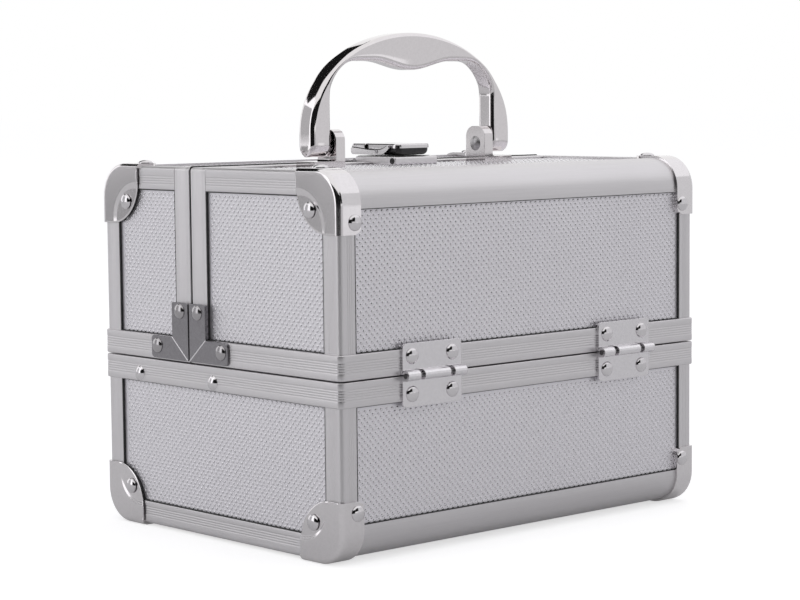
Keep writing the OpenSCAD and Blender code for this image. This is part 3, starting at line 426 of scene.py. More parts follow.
def make_piece(name: str, shell: Shell, finish: Finish, body: str,
               stands_for: tuple[str, ...] = (), bevel: float = 0.0, sharp: float = 35.0,
               closed: bool = True) -> None:
    """Puts a surface into the scene as a piece that rides on a CAD body.

    Args:
        name: Name of the piece.
        shell: Its surface, in millimetres.
        finish: Its finish.
        body: The CAD body that it moves with.
        stands_for: CAD nodes that it replaces.
        bevel: Width of a bevel on its sharp edges, in millimetres.
        sharp: Angle in degrees from which an edge stays sharp.
        closed: Whether each part of the surface is closed, so that its normals can be set.
    """
    mesh = bpy.data.meshes.new(name)
    faces = [row for group in shell.faces for row in group.tolist()]
    mesh.from_pydata((shell.points * MM).tolist(), [], faces)
    if closed:
        work = bmesh.new()
        work.from_mesh(mesh)
        bmesh.ops.remove_doubles(work, verts=work.verts, dist=MERGE * MM)
        bmesh.ops.recalc_face_normals(work, faces=work.faces)
        work.to_mesh(mesh)
        work.free()
    mesh.shade_smooth()
    mesh.set_sharp_from_angle(angle=np.radians(sharp))
    mesh.materials.append(finish.material())
    piece = bpy.data.objects.new(name, mesh)
    bpy.context.scene.collection.objects.link(piece)
    if bevel:
        edge = piece.modifiers.new("edge", "BEVEL")
        edge.width = bevel * MM
        edge.segments = BEVEL_STEPS
        edge.limit_method = "ANGLE"
        edge.angle_limit = np.radians(BEVEL_ANGLE)
        edge.harden_normals = True
    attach(piece, body)
    if stands_for:
        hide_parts(*stands_for)
    LOG.info("%s: %d points on %s", name, len(mesh.vertices), body)


# ---- The case ----


@dataclass(frozen=True)
class CaseSizes:
    """Sizes that the pieces share, as the construction has them."""

    half_l: float = 102.0
    half_d: float = 76.0
    top: float = 152.0
    floor: float = 1.0
    part_z: float = 71.8
    rim_gap: float = 0.5
    rim_h: float = 10.0
    rim_proud: float = 1.0
    near_edge: float = 16.05
    far_edge: float = 16.95
    split_y: float = 16.5
    split_w: float = 10.0
    rail_w: float = 14.5
    end_w: float = 9.6
    side_w: float = 8.0
    sheet_in: float = 1.1
    edge_r: float = 13.0

    @property
    def rim_up(self) -> float:
        """Underside of the lids' rims, where they meet the base's."""
        return self.part_z + self.rim_gap / 2

    @property
    def rim_down(self) -> float:
        """Top of the base's rim."""
        return self.part_z - self.rim_gap / 2

    @property
    def lid_low(self) -> float:
        """Top of the lids' rims, where their sheets start."""
        return self.rim_up + self.rim_h

    @property
    def base_high(self) -> float:
        """Underside of the base's rim, where its sheets end."""
        return self.rim_down - self.rim_h

    @property
    def middle_z(self) -> float:
        """The middle height, about which the top's caps and rails turn to the bottom."""
        return (self.top + self.floor) / 2

    @property
    def skin(self) -> float:
        """Height of the lids' top sheets."""
        return self.top - self.sheet_in


SIZES = CaseSizes()


@dataclass(frozen=True)
class Sheet:
    """One sheet of the case: a rectangle in its own plane, and the wall that it covers."""

    name: str
    body: str
    low: tuple[float, float]
    high: tuple[float, float]
    wall: tuple[int, float, float]

    @staticmethod
    def of_case() -> list["Sheet"]:
        """The sheets of both lids and of the base, with the left one for each pair of ends.

        Returns:
            The sheets.
        """
        s = SIZES
        x, end, roof = s.half_l - s.side_w, s.half_d - s.end_w, s.half_d - s.rail_w
        left, low, high = (0, -1, s.sheet_in - s.half_l), s.floor + s.rail_w, s.top - s.rail_w
        sheets = []
        for lid, side, edge in (("near_lid", -1, s.near_edge - s.split_w),
                                ("far_lid", 1, s.far_edge + s.split_w)):
            front, side_of = (1, side, side * (s.half_d - s.sheet_in)), lid.removesuffix("_lid")
            (y0, y1), (r0, r1) = sorted((side * end, edge)), sorted((side * roof, edge))
            sheets += [
                Sheet(f"{lid}_front", lid, (-x, s.lid_low), (x, high), front),
                Sheet(f"base_{side_of}", "base", (-x, low), (x, s.base_high), front),
                Sheet(f"{lid}_end", lid, (y0, s.lid_low), (y1, s.top - s.end_w), left),
                Sheet(f"{lid}_top", lid, (-x, r0), (x, r1), (2, 1, s.skin)),
            ]
        bottom = (2, -1, s.floor + s.sheet_in)
        foot = s.floor + s.end_w
        return [*sheets, Sheet("base_end", "base", (-end, foot), (end, s.base_high), left),
                Sheet("base_bottom", "base", (-x, -roof), (x, roof), bottom)]


@dataclass
class DimpledSheets:
    """The raised dots on the sheets: low round bosses in staggered rows.

    A boss is height * (1 - (r / radius) squared) above the sheet, on two rings and a tip.
    """

    pitch: float = 2.82
    row: float = 1.48
    radius: float = 0.74
    height: float = 0.27
    sides: int = 8
    sink: float = 0.03
    shares: tuple[float, float] = (1.0, 0.6)
    margin: float = 0.1

    def boss(self) -> Shell:
        """One boss on the plane z = 0, standing on +Z.

        Returns:
            The boss.
        """
        ring = unit(np.linspace(0, 2 * np.pi, self.sides, endpoint=False)) * self.radius
        lift = [self.height * (1 - t * t) - self.sink for t in self.shares]
        rings = [np.insert(ring * t, 2, z, axis=1) for t, z in zip(self.shares, lift)]
        k = np.arange(self.sides)
        n = np.roll(k, -1)
        wall = np.stack([k, n, n + self.sides, k + self.sides], 1)
        tip = np.stack([k + self.sides, n + self.sides, np.full(self.sides, 2 * self.sides)], 1)
        return Shell(np.vstack([*rings, [[0, 0, self.height]]]), [wall, tip, k[None, ::-1]])

    def field(self, low: tuple[float, float], high: tuple[float, float]) -> Shell:
        """Bosses all over a rectangle, every second row moved by half a pitch.

        Args:
            low: Lower corner in the sheet's own plane.
            high: Upper corner.

        Returns:
            The bosses on the plane z = 0.
        """
        edge = self.radius + self.margin
        across = np.arange(low[0] + edge, high[0] - edge - self.pitch / 2, self.pitch)
        rows = np.arange(low[1] + edge, high[1] - edge, self.row)
        x, y = np.meshgrid(across, rows)
        x = x + (np.arange(len(rows)) % 2)[:, None] * self.pitch / 2
        spots = np.column_stack([x.ravel(), y.ravel(), np.zeros(x.size)])
        boss = self.boss()
        points = (spots[:, None] + boss.points[None]).reshape(-1, 3)
        shift = np.arange(len(spots)) * len(boss.points)
        faces = [(f[None] + shift[:, None, None]).reshape(-1, f.shape[1]) for f in boss.faces]
        return Shell(points, faces)

    def build(self) -> None:
        """Makes the bosses of every sheet."""
        for sheet in Sheet.of_case():
            dots = self.field(sheet.low, sheet.high).on_wall(*sheet.wall)
            if sheet.name.endswith("_end"):
                dots = dots.with_mirror(0)
            make_piece(f"{sheet.name}_dimples", dots, DOT, sheet.body, closed=False, sharp=80)


@dataclass
class ShadowGaps:
    """Painted shadow: dark strips in the gaps between the sheets and the frames, and an arch in the
    gap between the lids.
    """

    width: float = 0.32
    height: float = 0.95
    sink: float = 0.05
    under: float = 0.1
    lip: float = 0.45
    lid_gap_in: float = 0.3
    lid_gap_r: float = 1.5
    lid_gap_w: float = 4.0
    lid_gap_span: tuple[float, float] = (-0.12, 0.02)

    def ring(self, sheet: Sheet) -> Shell:
        """A strip round a sheet's border: four corners of a rectangular section.

        Args:
            sheet: The sheet.

        Returns:
            The closed strip on the sheet's wall.
        """
        (x0, y0), (x1, y1) = sheet.low, sheet.high
        corners = np.array([[x0, y0], [x1, y0], [x1, y1], [x0, y1]], float)
        inward = np.array([[1, 1], [-1, 1], [-1, -1], [1, -1]])
        grow = np.array([-self.under, self.width, self.width, -self.under])
        lift = np.array([-self.sink, -self.sink, self.height, self.height])
        flat = corners[:, None] + inward[:, None] * grow[None, :, None]
        points = np.dstack([flat, np.broadcast_to(lift, (4, 4))])
        return Shell.grid(points, close_u=True, close_v=True).on_wall(*sheet.wall)

    def lid_gap_shade(self) -> Shell:
        """Painted shadow of the gap between the lids: a dark arch on the far lid's split frame, a
        little proud of the frames.

        Returns:
            The arch.
        """
        out, up, low = SIZES.half_l - self.lid_gap_in, SIZES.top + self.lip, SIZES.lid_low + 1
        x, z = out - self.lid_gap_w, up - self.lid_gap_w
        arch = rounded_outline([(-out, low, 0), (-out, up, self.lid_gap_r),
                                (out, up, self.lid_gap_r), (out, low, 0)])
        outline = np.vstack([arch, [[x, low], [x, z], [-x, z], [-x, low]]])
        y0, y1 = SIZES.far_edge + np.array(self.lid_gap_span)
        return Shell.prism(outline, y0, y1, 1)

    def build(self) -> None:
        """Makes the painted shadow strips of the base and of both lids, and the arch between the
        lids.
        """
        rings = {sheet.name: self.ring(sheet) for sheet in Sheet.of_case()}
        for lid in ("near_lid", "far_lid"):
            shell = Shell.join([rings[f"{lid}_front"], rings[f"{lid}_end"].with_mirror(0)])
            make_piece(f"{lid}_seals", shell, SHADOW_GAP_BLACK, lid)
        make_piece("split_painted_shadow_gap", self.lid_gap_shade(), SHADOW_GAP_BLACK, "far_lid")
        shell = Shell.join([rings["base_near"].with_mirror(1), rings["base_end"].with_mirror(0)])
        make_piece("base_seals", shell, SHADOW_GAP_BLACK, "base")


@dataclass
class Rivets:
    """Domed rivet heads, turned about their own axes.

    The head's profile is rim + (height - rim) * (1 - (r / radius) ^ 2.2) ^ 0.6, over a short
    upright rim. The places are distances from the case's edges and corners.
    """

    radius: float = 3.2
    height: float = 1.3
    rim: float = 0.15
    foot: float = 0.1
    flat: float = 2.2
    dome: float = 0.6
    rings: int = 9
    sides: int = 32
    proud: float = 1.0
    end_at: tuple[float, float] = (16.2, 15.0)
    side_at: tuple[float, float] = (7.2, 19.6)
    roof_at: tuple[float, float] = (7.4, 19.2)
    plate_at: tuple[tuple[float, float], ...] = ((5.4, 20.9), (20.8, 5.8))
    hinge_x: tuple[float, float] = (45.2, 66.8)
    hinge_z: float = 7.45

    def head(self) -> Shell:
        """One head on the plane z = 0, standing on +Z.

        Returns:
            The head.
        """
        r = np.sin(np.linspace(0.08, QUARTER, self.rings)) * self.radius
        rise = np.clip(1 - (r / self.radius) ** self.flat, 0, 1) ** self.dome
        z = self.rim + (self.height - self.rim) * rise
        r, z = np.append(r, self.radius), np.append(z, -self.foot)
        circle = unit(np.linspace(0, 2 * np.pi, self.sides, endpoint=False))
        return Shell.stack(r[:, None, None] * circle, z)

    def at(self, x: float, y: float, z: float, axis: int, sign: float) -> Shell:
        """A head at a place, standing along sign times the axis."""
        return self.head().on_wall(axis, sign).moved(x, y, z)

    def build(self) -> None:
        """Makes the rivets of the base and of both lids."""
        s, proud = SIZES, self.proud
        (end_y, end_z), (side_x, side_z), (roof_x, roof_y) = self.end_at, self.side_at, self.roof_at
        end = self.at(-s.half_l - proud, -s.half_d + end_y, s.top - end_z, 0, -1)
        side = self.at(-s.half_l + side_x, -s.half_d - proud, s.top - side_z, 1, -1)
        roof = self.at(-s.half_l + roof_x, -s.half_d + roof_y, s.top + proud, 2, 1)
        face_x, leaf_y = -s.half_l - s.rim_proud - proud, -s.half_d - s.rim_proud - proud
        split = Shell.join([self.at(face_x, s.near_edge - y, s.rim_up + z, 0, -1)
                            for y, z in self.plate_at])
        hinge = Shell.join([self.at(x, leaf_y, s.part_z + self.hinge_z, 1, -1)
                            for x in self.hinge_x])
        near = Shell.join([end, side, roof, hinge.mirrored(0)]).with_mirror(0)
        low_cap = Shell.join([end, side]).mirrored(2, s.middle_z)
        low_hinge = hinge.mirrored(2, s.part_z).mirrored(0)
        base = Shell.join([low_cap, low_hinge]).with_mirror(0).with_mirror(1)
        for lid, shell in (("near_lid", split), ("far_lid", split.mirrored(1, s.split_y))):
            make_piece(f"{lid}_plate_rivets", shell.with_mirror(0), PLATE_RIVET, lid, sharp=60)
        for name, shell in (("near_lid", near), ("far_lid", near.mirrored(1)), ("base", base)):
            make_piece(f"{name}_rivet_heads", shell, RIVET_NICKEL, name, (f"{name}_rivets",),
                       sharp=60)


@dataclass
class CornerCaps:
    """Pressed caps: an end plate with a stepped quarter round, and a strip over the long edge.

    The plate is a fan about a point (p, p) from the corner: point = centre + t * (border -
    centre), lifted by the plate's thickness less a smooth step inside a circle about the
    cap's inner corner. The strip follows the rounded section of the case along X.
    """

    reach: float = 24.3
    flat: float = 6.3
    wrap: float = 10.5
    thick: float = 1.0
    step: float = 0.38
    step_r: float = 14.2
    step_at: float = 22.3
    step_w: float = 1.8
    round_in: float = 1.2
    corner_r: float = 3.0
    free_drop: float = 0.2
    free_w: float = 0.35
    free_low: float = 0.45
    hem: float = 0.2
    hem_roll: float = 0.12
    hem_in: float = 0.85
    rings: int = 72
    under_shadow_share: float = 0.985
    under_shadow_span: tuple[float, float] = (-0.47, 1.05)

    def _outer(self, grow: float) -> np.ndarray:
        """The cap's outer border: along the top, round the long edge and down the side.

        Args:
            grow: How far it lies outside the case's section.

        Returns:
            Array (n, 2) of (a, b), the distances from the long side and from the top.
        """
        r = SIZES.edge_r
        arc = r + (r + grow) * unit(np.linspace(np.pi * 1.5, np.pi, 21))
        top = np.column_stack([np.linspace(self.reach, r, 10)[:-1], np.full(9, -grow)])
        return np.vstack([top, arc, top[::-1, ::-1]])

    def _inner(self) -> np.ndarray:
        """The cap's free border: the two straight ends and the round part between them.

        Returns:
            Array (n, 2) of (a, b).
        """
        arc = self.flat + (self.reach - self.flat) * unit(np.linspace(QUARTER, 0, 31))
        left = np.column_stack([np.linspace(0, self.flat, 6)[1:-1], np.full(4, self.reach)])
        return np.vstack([left, arc, left[::-1, ::-1]])

    def _plate(self) -> Shell:
        """The end plate: the fan, its rounded free edge and the wall under it.

        Returns:
            The plate in (a, b, lift).
        """
        outer = self._outer(-self.round_in)
        border = np.vstack([outer, self._inner()])
        free = np.arange(len(border)) >= len(outer)
        t = np.linspace(0.02, 1, self.rings)[:, None, None]
        flat = self.flat + t * (border[None] - self.flat)
        reach = np.linalg.norm(flat - self.step_at, axis=-1)
        lift = self.thick - self.step * smooth_step((self.step_r - reach) / self.step_w + 0.5)
        to_edge = (1 - t[..., 0]) * np.linalg.norm(border - self.flat, axis=-1)[None]
        lift = lift - self.free_drop * free * (1 - smooth_step(to_edge / self.free_w))
        low = np.column_stack([border, np.where(free, self.free_low, lift[-1])])
        shell = Shell.grid(np.vstack([np.dstack([flat, lift]), low[None]]), close_v=True)
        return Shell(shell.points, [*shell.faces, np.arange(len(border))[None]])

    def _strip(self) -> Shell:
        """The strip: a quarter round off the plate, then along the long edge to a hem.

        Returns:
            The strip in (a, b, lift).
        """
        inner, outer = self._outer(-self.round_in), self._outer(1.0)
        along = np.append(0, np.cumsum(np.linalg.norm(np.diff(outer, axis=0), axis=1)))
        cut = round_drop(np.minimum(along, along[-1] - along), self.corner_r)
        end = self.wrap - cut
        turn = np.linspace(0, QUARTER, 13)[:, None]
        run = np.linspace(0.05, 1, 8)[:, None]
        bend = (self.thick + self.round_in) * np.cos(turn) - self.round_in
        depth = np.vstack([bend * np.ones(len(outer)),
                           -self.round_in - run * (end - self.hem - self.round_in),
                           self.hem_roll - end, -end, -end])
        out = np.vstack([np.sin(turn), np.ones((9, 1)), [[self.hem_in], [0.0]]])
        points = np.dstack([inner + out[..., None] * (outer - inner), depth])
        lead, tail = points[:, :1].copy(), points[:, -1:].copy()
        lead[:, 0, :2], tail[:, 0, :2] = inner[0], inner[-1]
        return Shell.grid(np.hstack([lead, points, tail]))

    def cap(self) -> Shell:
        """The cap at the left, near, top corner.

        Returns:
            The cap.
        """
        shell = Shell.join([self._plate(), self._strip()])
        a, b, lift = shell.points.T
        points = np.column_stack([-SIZES.half_l - lift, a - SIZES.half_d, SIZES.top - b])
        return Shell(points, shell.faces)

    def pad(self) -> Shell:
        """Painted shadow under the left, near, top cap: a dark plate a little smaller than the cap,
        for the shaded gap under its free edge.

        Returns:
            The pad.
        """
        border = np.vstack([self._outer(-self.round_in), self._inner()])
        a, b = (self.flat + (border - self.flat) * self.under_shadow_share).T
        outline = np.column_stack([a - SIZES.half_d, SIZES.top - b])
        x0, x1 = np.array(self.under_shadow_span) - SIZES.half_l
        return Shell.prism(outline, x0, x1, 0)

    def build(self) -> None:
        """Makes the painted shadows under the caps, and the caps, of both lids and of the base."""
        # The first pair makes the painted shadow: a dark plate under each cap's free edge.
        for left, word, finish, sharp in ((self.pad(), "cap_painted_shadows", SHADOW_GAP_BLACK, 35),
                                          (self.cap(), "caps", CAP_CHROME, 50)):
            near = left.with_mirror(0)
            base = near.mirrored(2, SIZES.middle_z).with_mirror(1)
            for name, shell in (("near_lid", near), ("far_lid", near.mirrored(1)), ("base", base)):
                nodes = (f"{name}_corner_caps",) if word == "caps" else ()
                make_piece(f"{name}_{word}", shell, finish, name, nodes, sharp=sharp)


@dataclass
class SplitBrackets:
    """The dark angle brackets where the split meets the rim, mitred at their elbow."""

    up: float = 24.5
    out: float = 25.0
    width: float = 10.8
    thick: float = 1.0
    step: float = 0.6
    slot: float = 0.02
    foot_r: tuple[float, float, float] = (1.7, 0.3, 1.4)
    head_r: float = 0.9
    pad_in: tuple[float, float, float, float] = (0.3, 0.05, 0.01, 0.3)
    line_half: float = 0.26
    line_in: tuple[float, float] = (0.2, 0.25)
    line_span: tuple[float, float] = (-0.12, 0.2)

    def bracket(self) -> Shell:
        """Both plates of the near lid's left bracket, apart by the width of the mitre.

        Returns:
            The plates, and the pad that fills the step behind the upright one.
        """
        foot, head = SIZES.rim_up + self.step, SIZES.rim_up + self.up
        rim_top, edge = SIZES.rim_up + SIZES.rim_h, SIZES.near_edge
        inner, tip, g = edge - self.width, edge - self.out, self.slot
        tip_r, elbow_r, top_r = self.foot_r
        plate = rounded_outline([(inner, rim_top + g, 0), (edge, foot + g * 2, elbow_r),
                                 (edge, head, self.head_r), (inner, head, self.head_r)])
        lying = rounded_outline([(tip, foot, tip_r), (edge - g * 2, foot, elbow_r),
                                 (inner, rim_top - g, 0), (tip, rim_top, top_r)])
        left, right, below, above = self.pad_in
        y0, y1, z0, z1 = inner + left, edge - right, rim_top + below, head - above
        pad = np.array([[y0, z0], [y1, z0], [y1, z1], [y0, z1]])
        x, overlap = -SIZES.half_l - SIZES.rim_proud, 0.01
        return Shell.join([Shell.prism(plate, x - self.thick, x, 0),
                           Shell.prism(lying, x - self.thick, x, 0),
                           Shell.prism(pad, x - overlap, -SIZES.half_l, 0)])

    def bead(self) -> Shell:
        """The raised line along the left bracket's mitre, on the near lid.

        Returns:
            The line.
        """
        a = np.array([SIZES.near_edge - self.width, SIZES.rim_up + SIZES.rim_h])
        b = np.array([SIZES.near_edge, SIZES.rim_up + self.step]) + self.line_in * np.array([-1, 1])
        side = direction(np.array([a[1] - b[1], b[0] - a[0]])) * self.line_half
        x0, x1 = np.array(self.line_span) - SIZES.half_l - SIZES.rim_proud - self.thick
        return Shell.prism(np.array([a - side, b - side, b + side, a + side]), x0, x1, 0)

    def build(self) -> None:
        """Makes the brackets of both lids, and their raised mitre lines."""
        for left, word, finish, bevel in ((self.bead(), "mitre_lines", HINGE_NICKEL, 0.1),
                                          (self.bracket(), "angle_plates", DARK_STEEL, 0.28)):
            near = left.with_mirror(0)
            for lid, shell in (("near_lid", near), ("far_lid", near.mirrored(1, SIZES.split_y))):
                nodes = (f"{lid}_brackets",) if word == "angle_plates" else ()
                make_piece(f"{lid}_{word}", shell, finish, lid, nodes, bevel=bevel)


@dataclass
class Grip:
    """The carrying handle: a rounded section carried along an arch.

    The outside is an ellipse over straight legs. The inside has straight legs, round corners
    and a cosine wave for the fingers. Each ring spans one outer and one inner point, and
    below the pivots the section's depth shrinks as the cosine of an angle, to a round end.
    """

    out: float = 57.5
    leg: float = 10.7
    depth: float = 9.6
    y: float = -3.8
    pivot_z: float = 159.0
    top: float = 207.0
    leg_h: float = 6.5
    inside_h: float = 36.0
    inside_r: float = 15.0
    bulge: float = 3.8
    bulge_l: float = 46.0
    edge: float = 2.1
    knee: float = 25.0
    crown: float = 60.0
    ear_gap: float = 1.1
    ear_t: float = 5.0
    ear_half: float = 5.95
    ear_h: float = 7.6
    ear_r: float = 4.6
    foot_t: float = 2.5
    fillet: float = 1.1
    slack: float = 0.02

    def _rings(self) -> np.ndarray:
        """The outer and inner points of the left half, from the leg to the middle.

        Returns:
            Array (n, 2, 2) of (x, z) for the outer and the inner point of each ring.
        """
        leg_in, r = self.out - self.leg, self.inside_r
        spring, inside = self.pivot_z + self.leg_h, self.pivot_z + self.inside_h
        a = np.radians(np.interp(np.arange(55), [0, 12, 30, 54], [0, self.knee, self.crown, 90]))
        outer = [0, spring] + [-self.out, self.top - spring] * unit(a)
        straight = np.column_stack([np.full(13, -leg_in), np.linspace(spring, inside - r, 13)])
        corner = [r - leg_in, inside - r] + r * unit(np.linspace(0, QUARTER, 19)[1:]) * [-1, 1]
        x = np.linspace(r - leg_in, 0, 25)[1:]
        wave = self.bulge * (1 + np.cos(2 * np.pi * x / self.bulge_l)) / 2
        wave = np.where(abs(x) < self.bulge_l / 2, wave, 0)
        inner = np.vstack([straight, corner, np.column_stack([x, inside - wave])])
        z = np.linspace(self.pivot_z + 1, spring, 5)[:-1]
        legs = np.stack([np.column_stack([np.full(4, -x), z]) for x in (self.out, leg_in)], 1)
        return np.concatenate([legs, np.stack([outer, inner], 1)])

    def _section(self, width: np.ndarray, half: np.ndarray) -> np.ndarray:
        """Round-cornered rectangles: +-(half size - r) + r * (cos a, sin a) for each corner.

        Args:
            width: Width of each ring's section, from the outside inwards.
            half: Half of its depth.

        Returns:
            Array (rings, points, 2) of the distance inwards and the depth.
        """
        a = np.linspace(0, QUARTER, 7)
        corner = unit(np.concatenate([a + k * QUARTER for k in range(4)]))
        sign = np.repeat([[1, 1], [-1, 1], [-1, -1], [1, -1]], 7, axis=0)
        size = np.stack([width / 2, half], -1)[:, None]
        r = np.minimum(self.edge, np.minimum(half, width / 2) * 0.98)[:, None, None]
        return sign * (size - r) + r * corner + size * [1, 0]

    def arch(self) -> Shell:
        """The whole handle: the left half with its round foot, and its mirror image.

        Returns:
            The handle.
        """
        pairs = self._rings()
        drop = self.depth / 2 * unit(np.linspace(QUARTER * 0.97, 0, 10)[:-1])
        foot = np.repeat(pairs[:1], 9, 0)
        foot[:, :, 1] -= drop[:, 1:]
        half = np.concatenate([drop[:, 0], np.full(len(pairs), self.depth / 2)])
        pairs = np.concatenate([foot, pairs])
        pairs = np.concatenate([pairs, pairs[-2::-1] * [-1, 1]])
        half = np.concatenate([half, half[-2::-1]])
        across = pairs[:, 1] - pairs[:, 0]
        width = np.linalg.norm(across, axis=1)
        u, v = np.moveaxis(self._section(width, half), -1, 0)
        xz = pairs[:, :1] + u[..., None] * (across / width[:, None])[:, None]
        return Shell.tube(upright(xz, self.y + v))

    def brackets(self) -> Shell:
        """Foot plates with round-topped ears beside the legs, filleted into each other.

        Returns:
            Both brackets.
        """
        ear, low, r = self.out - self.leg - self.ear_gap, SIZES.skin, self.fillet
        ear_in, high = ear - self.ear_t, low + self.foot_t
        y0, y1, up = self.y - self.ear_half, self.y + self.ear_half, self.pivot_z + self.ear_h
        bend = [-ear - r, high + r] + r * unit(np.linspace(0, QUARTER, 7)) * [1, -1]
        foot = np.vstack([[[-self.out, low], [-ear_in, low], [-ear_in, high],
                           [-ear + 0.3, high + 0.2], [-ear + 0.3, high + 1.2], [-ear, high + 1.2]],
                          bend, [[-self.out, high]]])
        y2, y3 = y0 + self.slack, y1 - self.slack
        side = rounded_outline([(y2, low + 1, 0), (y3, low + 1, 0), (y3, up, self.ear_r),
                                (y2, up, self.ear_r)], 10)
        return Shell.join([Shell.prism(foot, y0, y1, 1),
                           Shell.prism(side, -ear, -ear_in - self.slack, 0)]).with_mirror(0)

    def build(self) -> None:
        """Makes the handle and its brackets."""
        make_piece("grip", self.arch(), GRIP_CHROME, "handle", ("handle",), sharp=50)
        make_piece("grip_brackets", self.brackets(), GRIP_CHROME, "near_lid", ("handle_brackets",),
                   bevel=0.45)


@dataclass
class Latch:
    """The draw latch: its base, the finger lever, the link over the split and the catch.

    The lever and the link's cap are hoods: an inverted U carried along Y and closed at one
    end. Its half width falls short by the drop of a round corner at the closed end, and its
    upper edges are rounded by quarter circles. The wave is the arms' upper edge, as places
    on Y and the heights there, and under is their lower outline with the corners' radii.
    lever_r and link_r are the radii of a hood's corners in plan and of its upper edges.
    """

    half: float = 9.8
    sheet: float = 1.1
    pivot_y: float = 8.8
    pivot_z: float = 157.0
    front: float = -8.2
    tail: float = 2.3
    top: float = 159.8
    shoulder: float = 1.9
    hem: float = 155.0
    nose_rise: float = 2.9
    nose_at: tuple[float, float] = (8.6, 3.2)
    lever_r: tuple[float, float] = (2.7, 0.9)
    # The next six fields size the dark block of painted shade under the lever's nose.
    nose_shade_half: float = 9.35
    nose_shade_y: tuple[float, float] = (-7.9, 5.6)
    nose_shade_r: tuple[float, float] = (2.5, 1.0)
    nose_shade_rise: float = 2.3
    nose_shade_top: float = 158.6
    nose_shade_taper: float = 0.2
    link_half: float = 11.15
    link_r: tuple[float, float] = (1.6, 0.8)
    cap_y: float = 11.7
    tip: float = 20.45
    hook: tuple[float, float] = (155.4, 159.2)
    hook_l: float = 4.0
    hook_t: float = 1.1
    arm_t: float = 1.0
    under: tuple[tuple[float, float, float], ...] = (
        (-4.4, 158.3, 0.3), (-3.3, 157.15, 2), (-0.4, 155.4, 3), (4.6, 154.85, 4),
        (9.0, 155.0, 4), (12.5, 155.1, 4), (20.45, 155.15, 1.4), (20.45, 158.0, 0.6))
    wave: tuple[tuple[float, ...], tuple[float, ...]] = (
        (-4.4, -2.6, -0.5, 2.0, 4.8, 7.5, 10.3, 15.0, 20.3),
        (159.5, 158.75, 157.75, 157.1, 156.95, 157.05, 157.2, 157.7, 158.15))
    gap: tuple[float, float] = (-0.8, 0.42)
    gap_x: tuple[float, float] = (0.35, 0.98)
    base_half: float = 12.3
    base_y: float = -7.65
    base_top: float = 154.4
    # Where the dark strip of painted shade lies on the base, along Y and above its top.
    base_shade_y: tuple[float, float] = (-5.4, 15.6)
    base_shade_z: tuple[float, float] = (-0.1, 0.2)
    roll: float = 1.75
    ear_x: float = 8.45
    ear_t: float = 1.2
    ear_r: float = 1.45

    def _stations(self, length: float, corner: float, near: int, rest: int) -> np.ndarray:
        """Places along a hood, with two at the inside of its end wall.

        They lie at corner * (1 - cos a) over the quarter turn a, and then evenly.

        Args:
            length: Length of the hood.
            corner: Radius of the closed end's corners.
            near: Number of places on the corner.
            rest: Number from the corner's end to the hood's.

        Returns:
            The distances from the closed end.
        """
        bend = corner * (1 - np.cos(np.linspace(0.1, QUARTER, near)))
        places = [bend, np.linspace(corner, length, rest)[1:], [self.sheet, self.sheet + 0.01]]
        return np.sort(np.concatenate(places))

    def _hood(self, half: float, hem: np.ndarray, v: np.ndarray, corner: float,
              edge: float) -> Shell:
        """An inverted U along v, closed at v = 0.

        Args:
            half: Half of its width.
            hem: Height of its lower edge at each station.
            v: The stations, from the closed end.
            corner: Radius of the closed end's corners in plan.
            edge: Radius of the upper edges.

        Returns:
            The surface in (x, v, z).
        """
        wide, roof = half - round_drop(v, corner), self.top - round_drop(v, edge)
        inside = np.where(v < self.sheet + 0.005, hem + 0.01, roof - self.sheet)
        shoulder = self.top - self.shoulder
        shoulder = np.where(hem < self.top - 2, shoulder, (hem + roof) / 2)
        bend = edge * (1 - unit(np.linspace(0, QUARTER, 5)))
        middle, wall = np.zeros(len(v)), wide - self.sheet
        left = np.stack([[-wide, -wide, *(c - wide for c in bend[:, 0]), -wide / 2, middle],
                         [hem, shoulder, *(roof - s for s in bend[:, 1]), roof, roof]], -1)
        inner = np.stack([[wall, wall, middle, -wall, -wall],
                          [hem, inside, inside, inside, hem]], -1)
        loop = np.swapaxes(np.vstack([left, left[-2::-1] * [-1, 1], inner]), 0, 1)
        return Shell.tube(upright(loop, v[:, None]))

    def lever(self) -> Shell:
        """The lever: a hood whose hem rises by a smooth step at the nose.

        At the back the hem follows the circle about the pivot, pivot_z - sqrt(tail^2 - y^2).

        Returns:
            The lever.
        """
        v = self._stations(self.pivot_y + self.tail - self.front, self.lever_r[0], 14, 30)
        past = np.clip(v + self.front - self.pivot_y, 0, self.tail)
        hem = np.maximum(self.hem, self.pivot_z - np.sqrt(self.tail ** 2 - past ** 2))
        hem = hem + self.nose_rise * smooth_step((self.nose_at[0] - v) / self.nose_at[1])
        return self._hood(self.half, hem, v, *self.lever_r).moved(y=self.front)

    def pad(self) -> Shell:
        """Painted shade under the lever's nose: a dark rounded block that narrows downwards,
        standing for the lever's shaded hollow.

        Its outline shrinks about its middle by nose_shade_taper * (1 - sin a), at the height
        hem + nose_shade_rise * (1 - cos a).

        Returns:
            The pad.
        """
        half, (front, back), (nose, heel) = self.nose_shade_half, self.nose_shade_y, self.nose_shade_r
        ring = rounded_outline([(-half, back, heel), (-half, front, nose), (half, front, nose),
                                (half, back, heel)], 9)
        centre = ring.mean(0)
        bend = 1 - unit(np.linspace(0, QUARTER, 7))
        shrink = np.append(1 - self.nose_shade_taper * bend[:, 1], 1.0)[:, None, None]
        high = np.append(self.hem + self.nose_shade_rise * bend[:, 0], self.nose_shade_top)
        return Shell.stack(centre + (ring - centre) * shrink, high)

    def _edge(self, lift: float) -> np.ndarray:
        """The arms' wavy upper edge from the back to the front.

        Args:
            lift: Height to add.

        Returns:
            Array (33, 2) of (y, z).
        """
        y = np.linspace(self.tip - 0.4, -4.3, 33)
        return np.column_stack([y, np.interp(y, *self.wave) + lift])

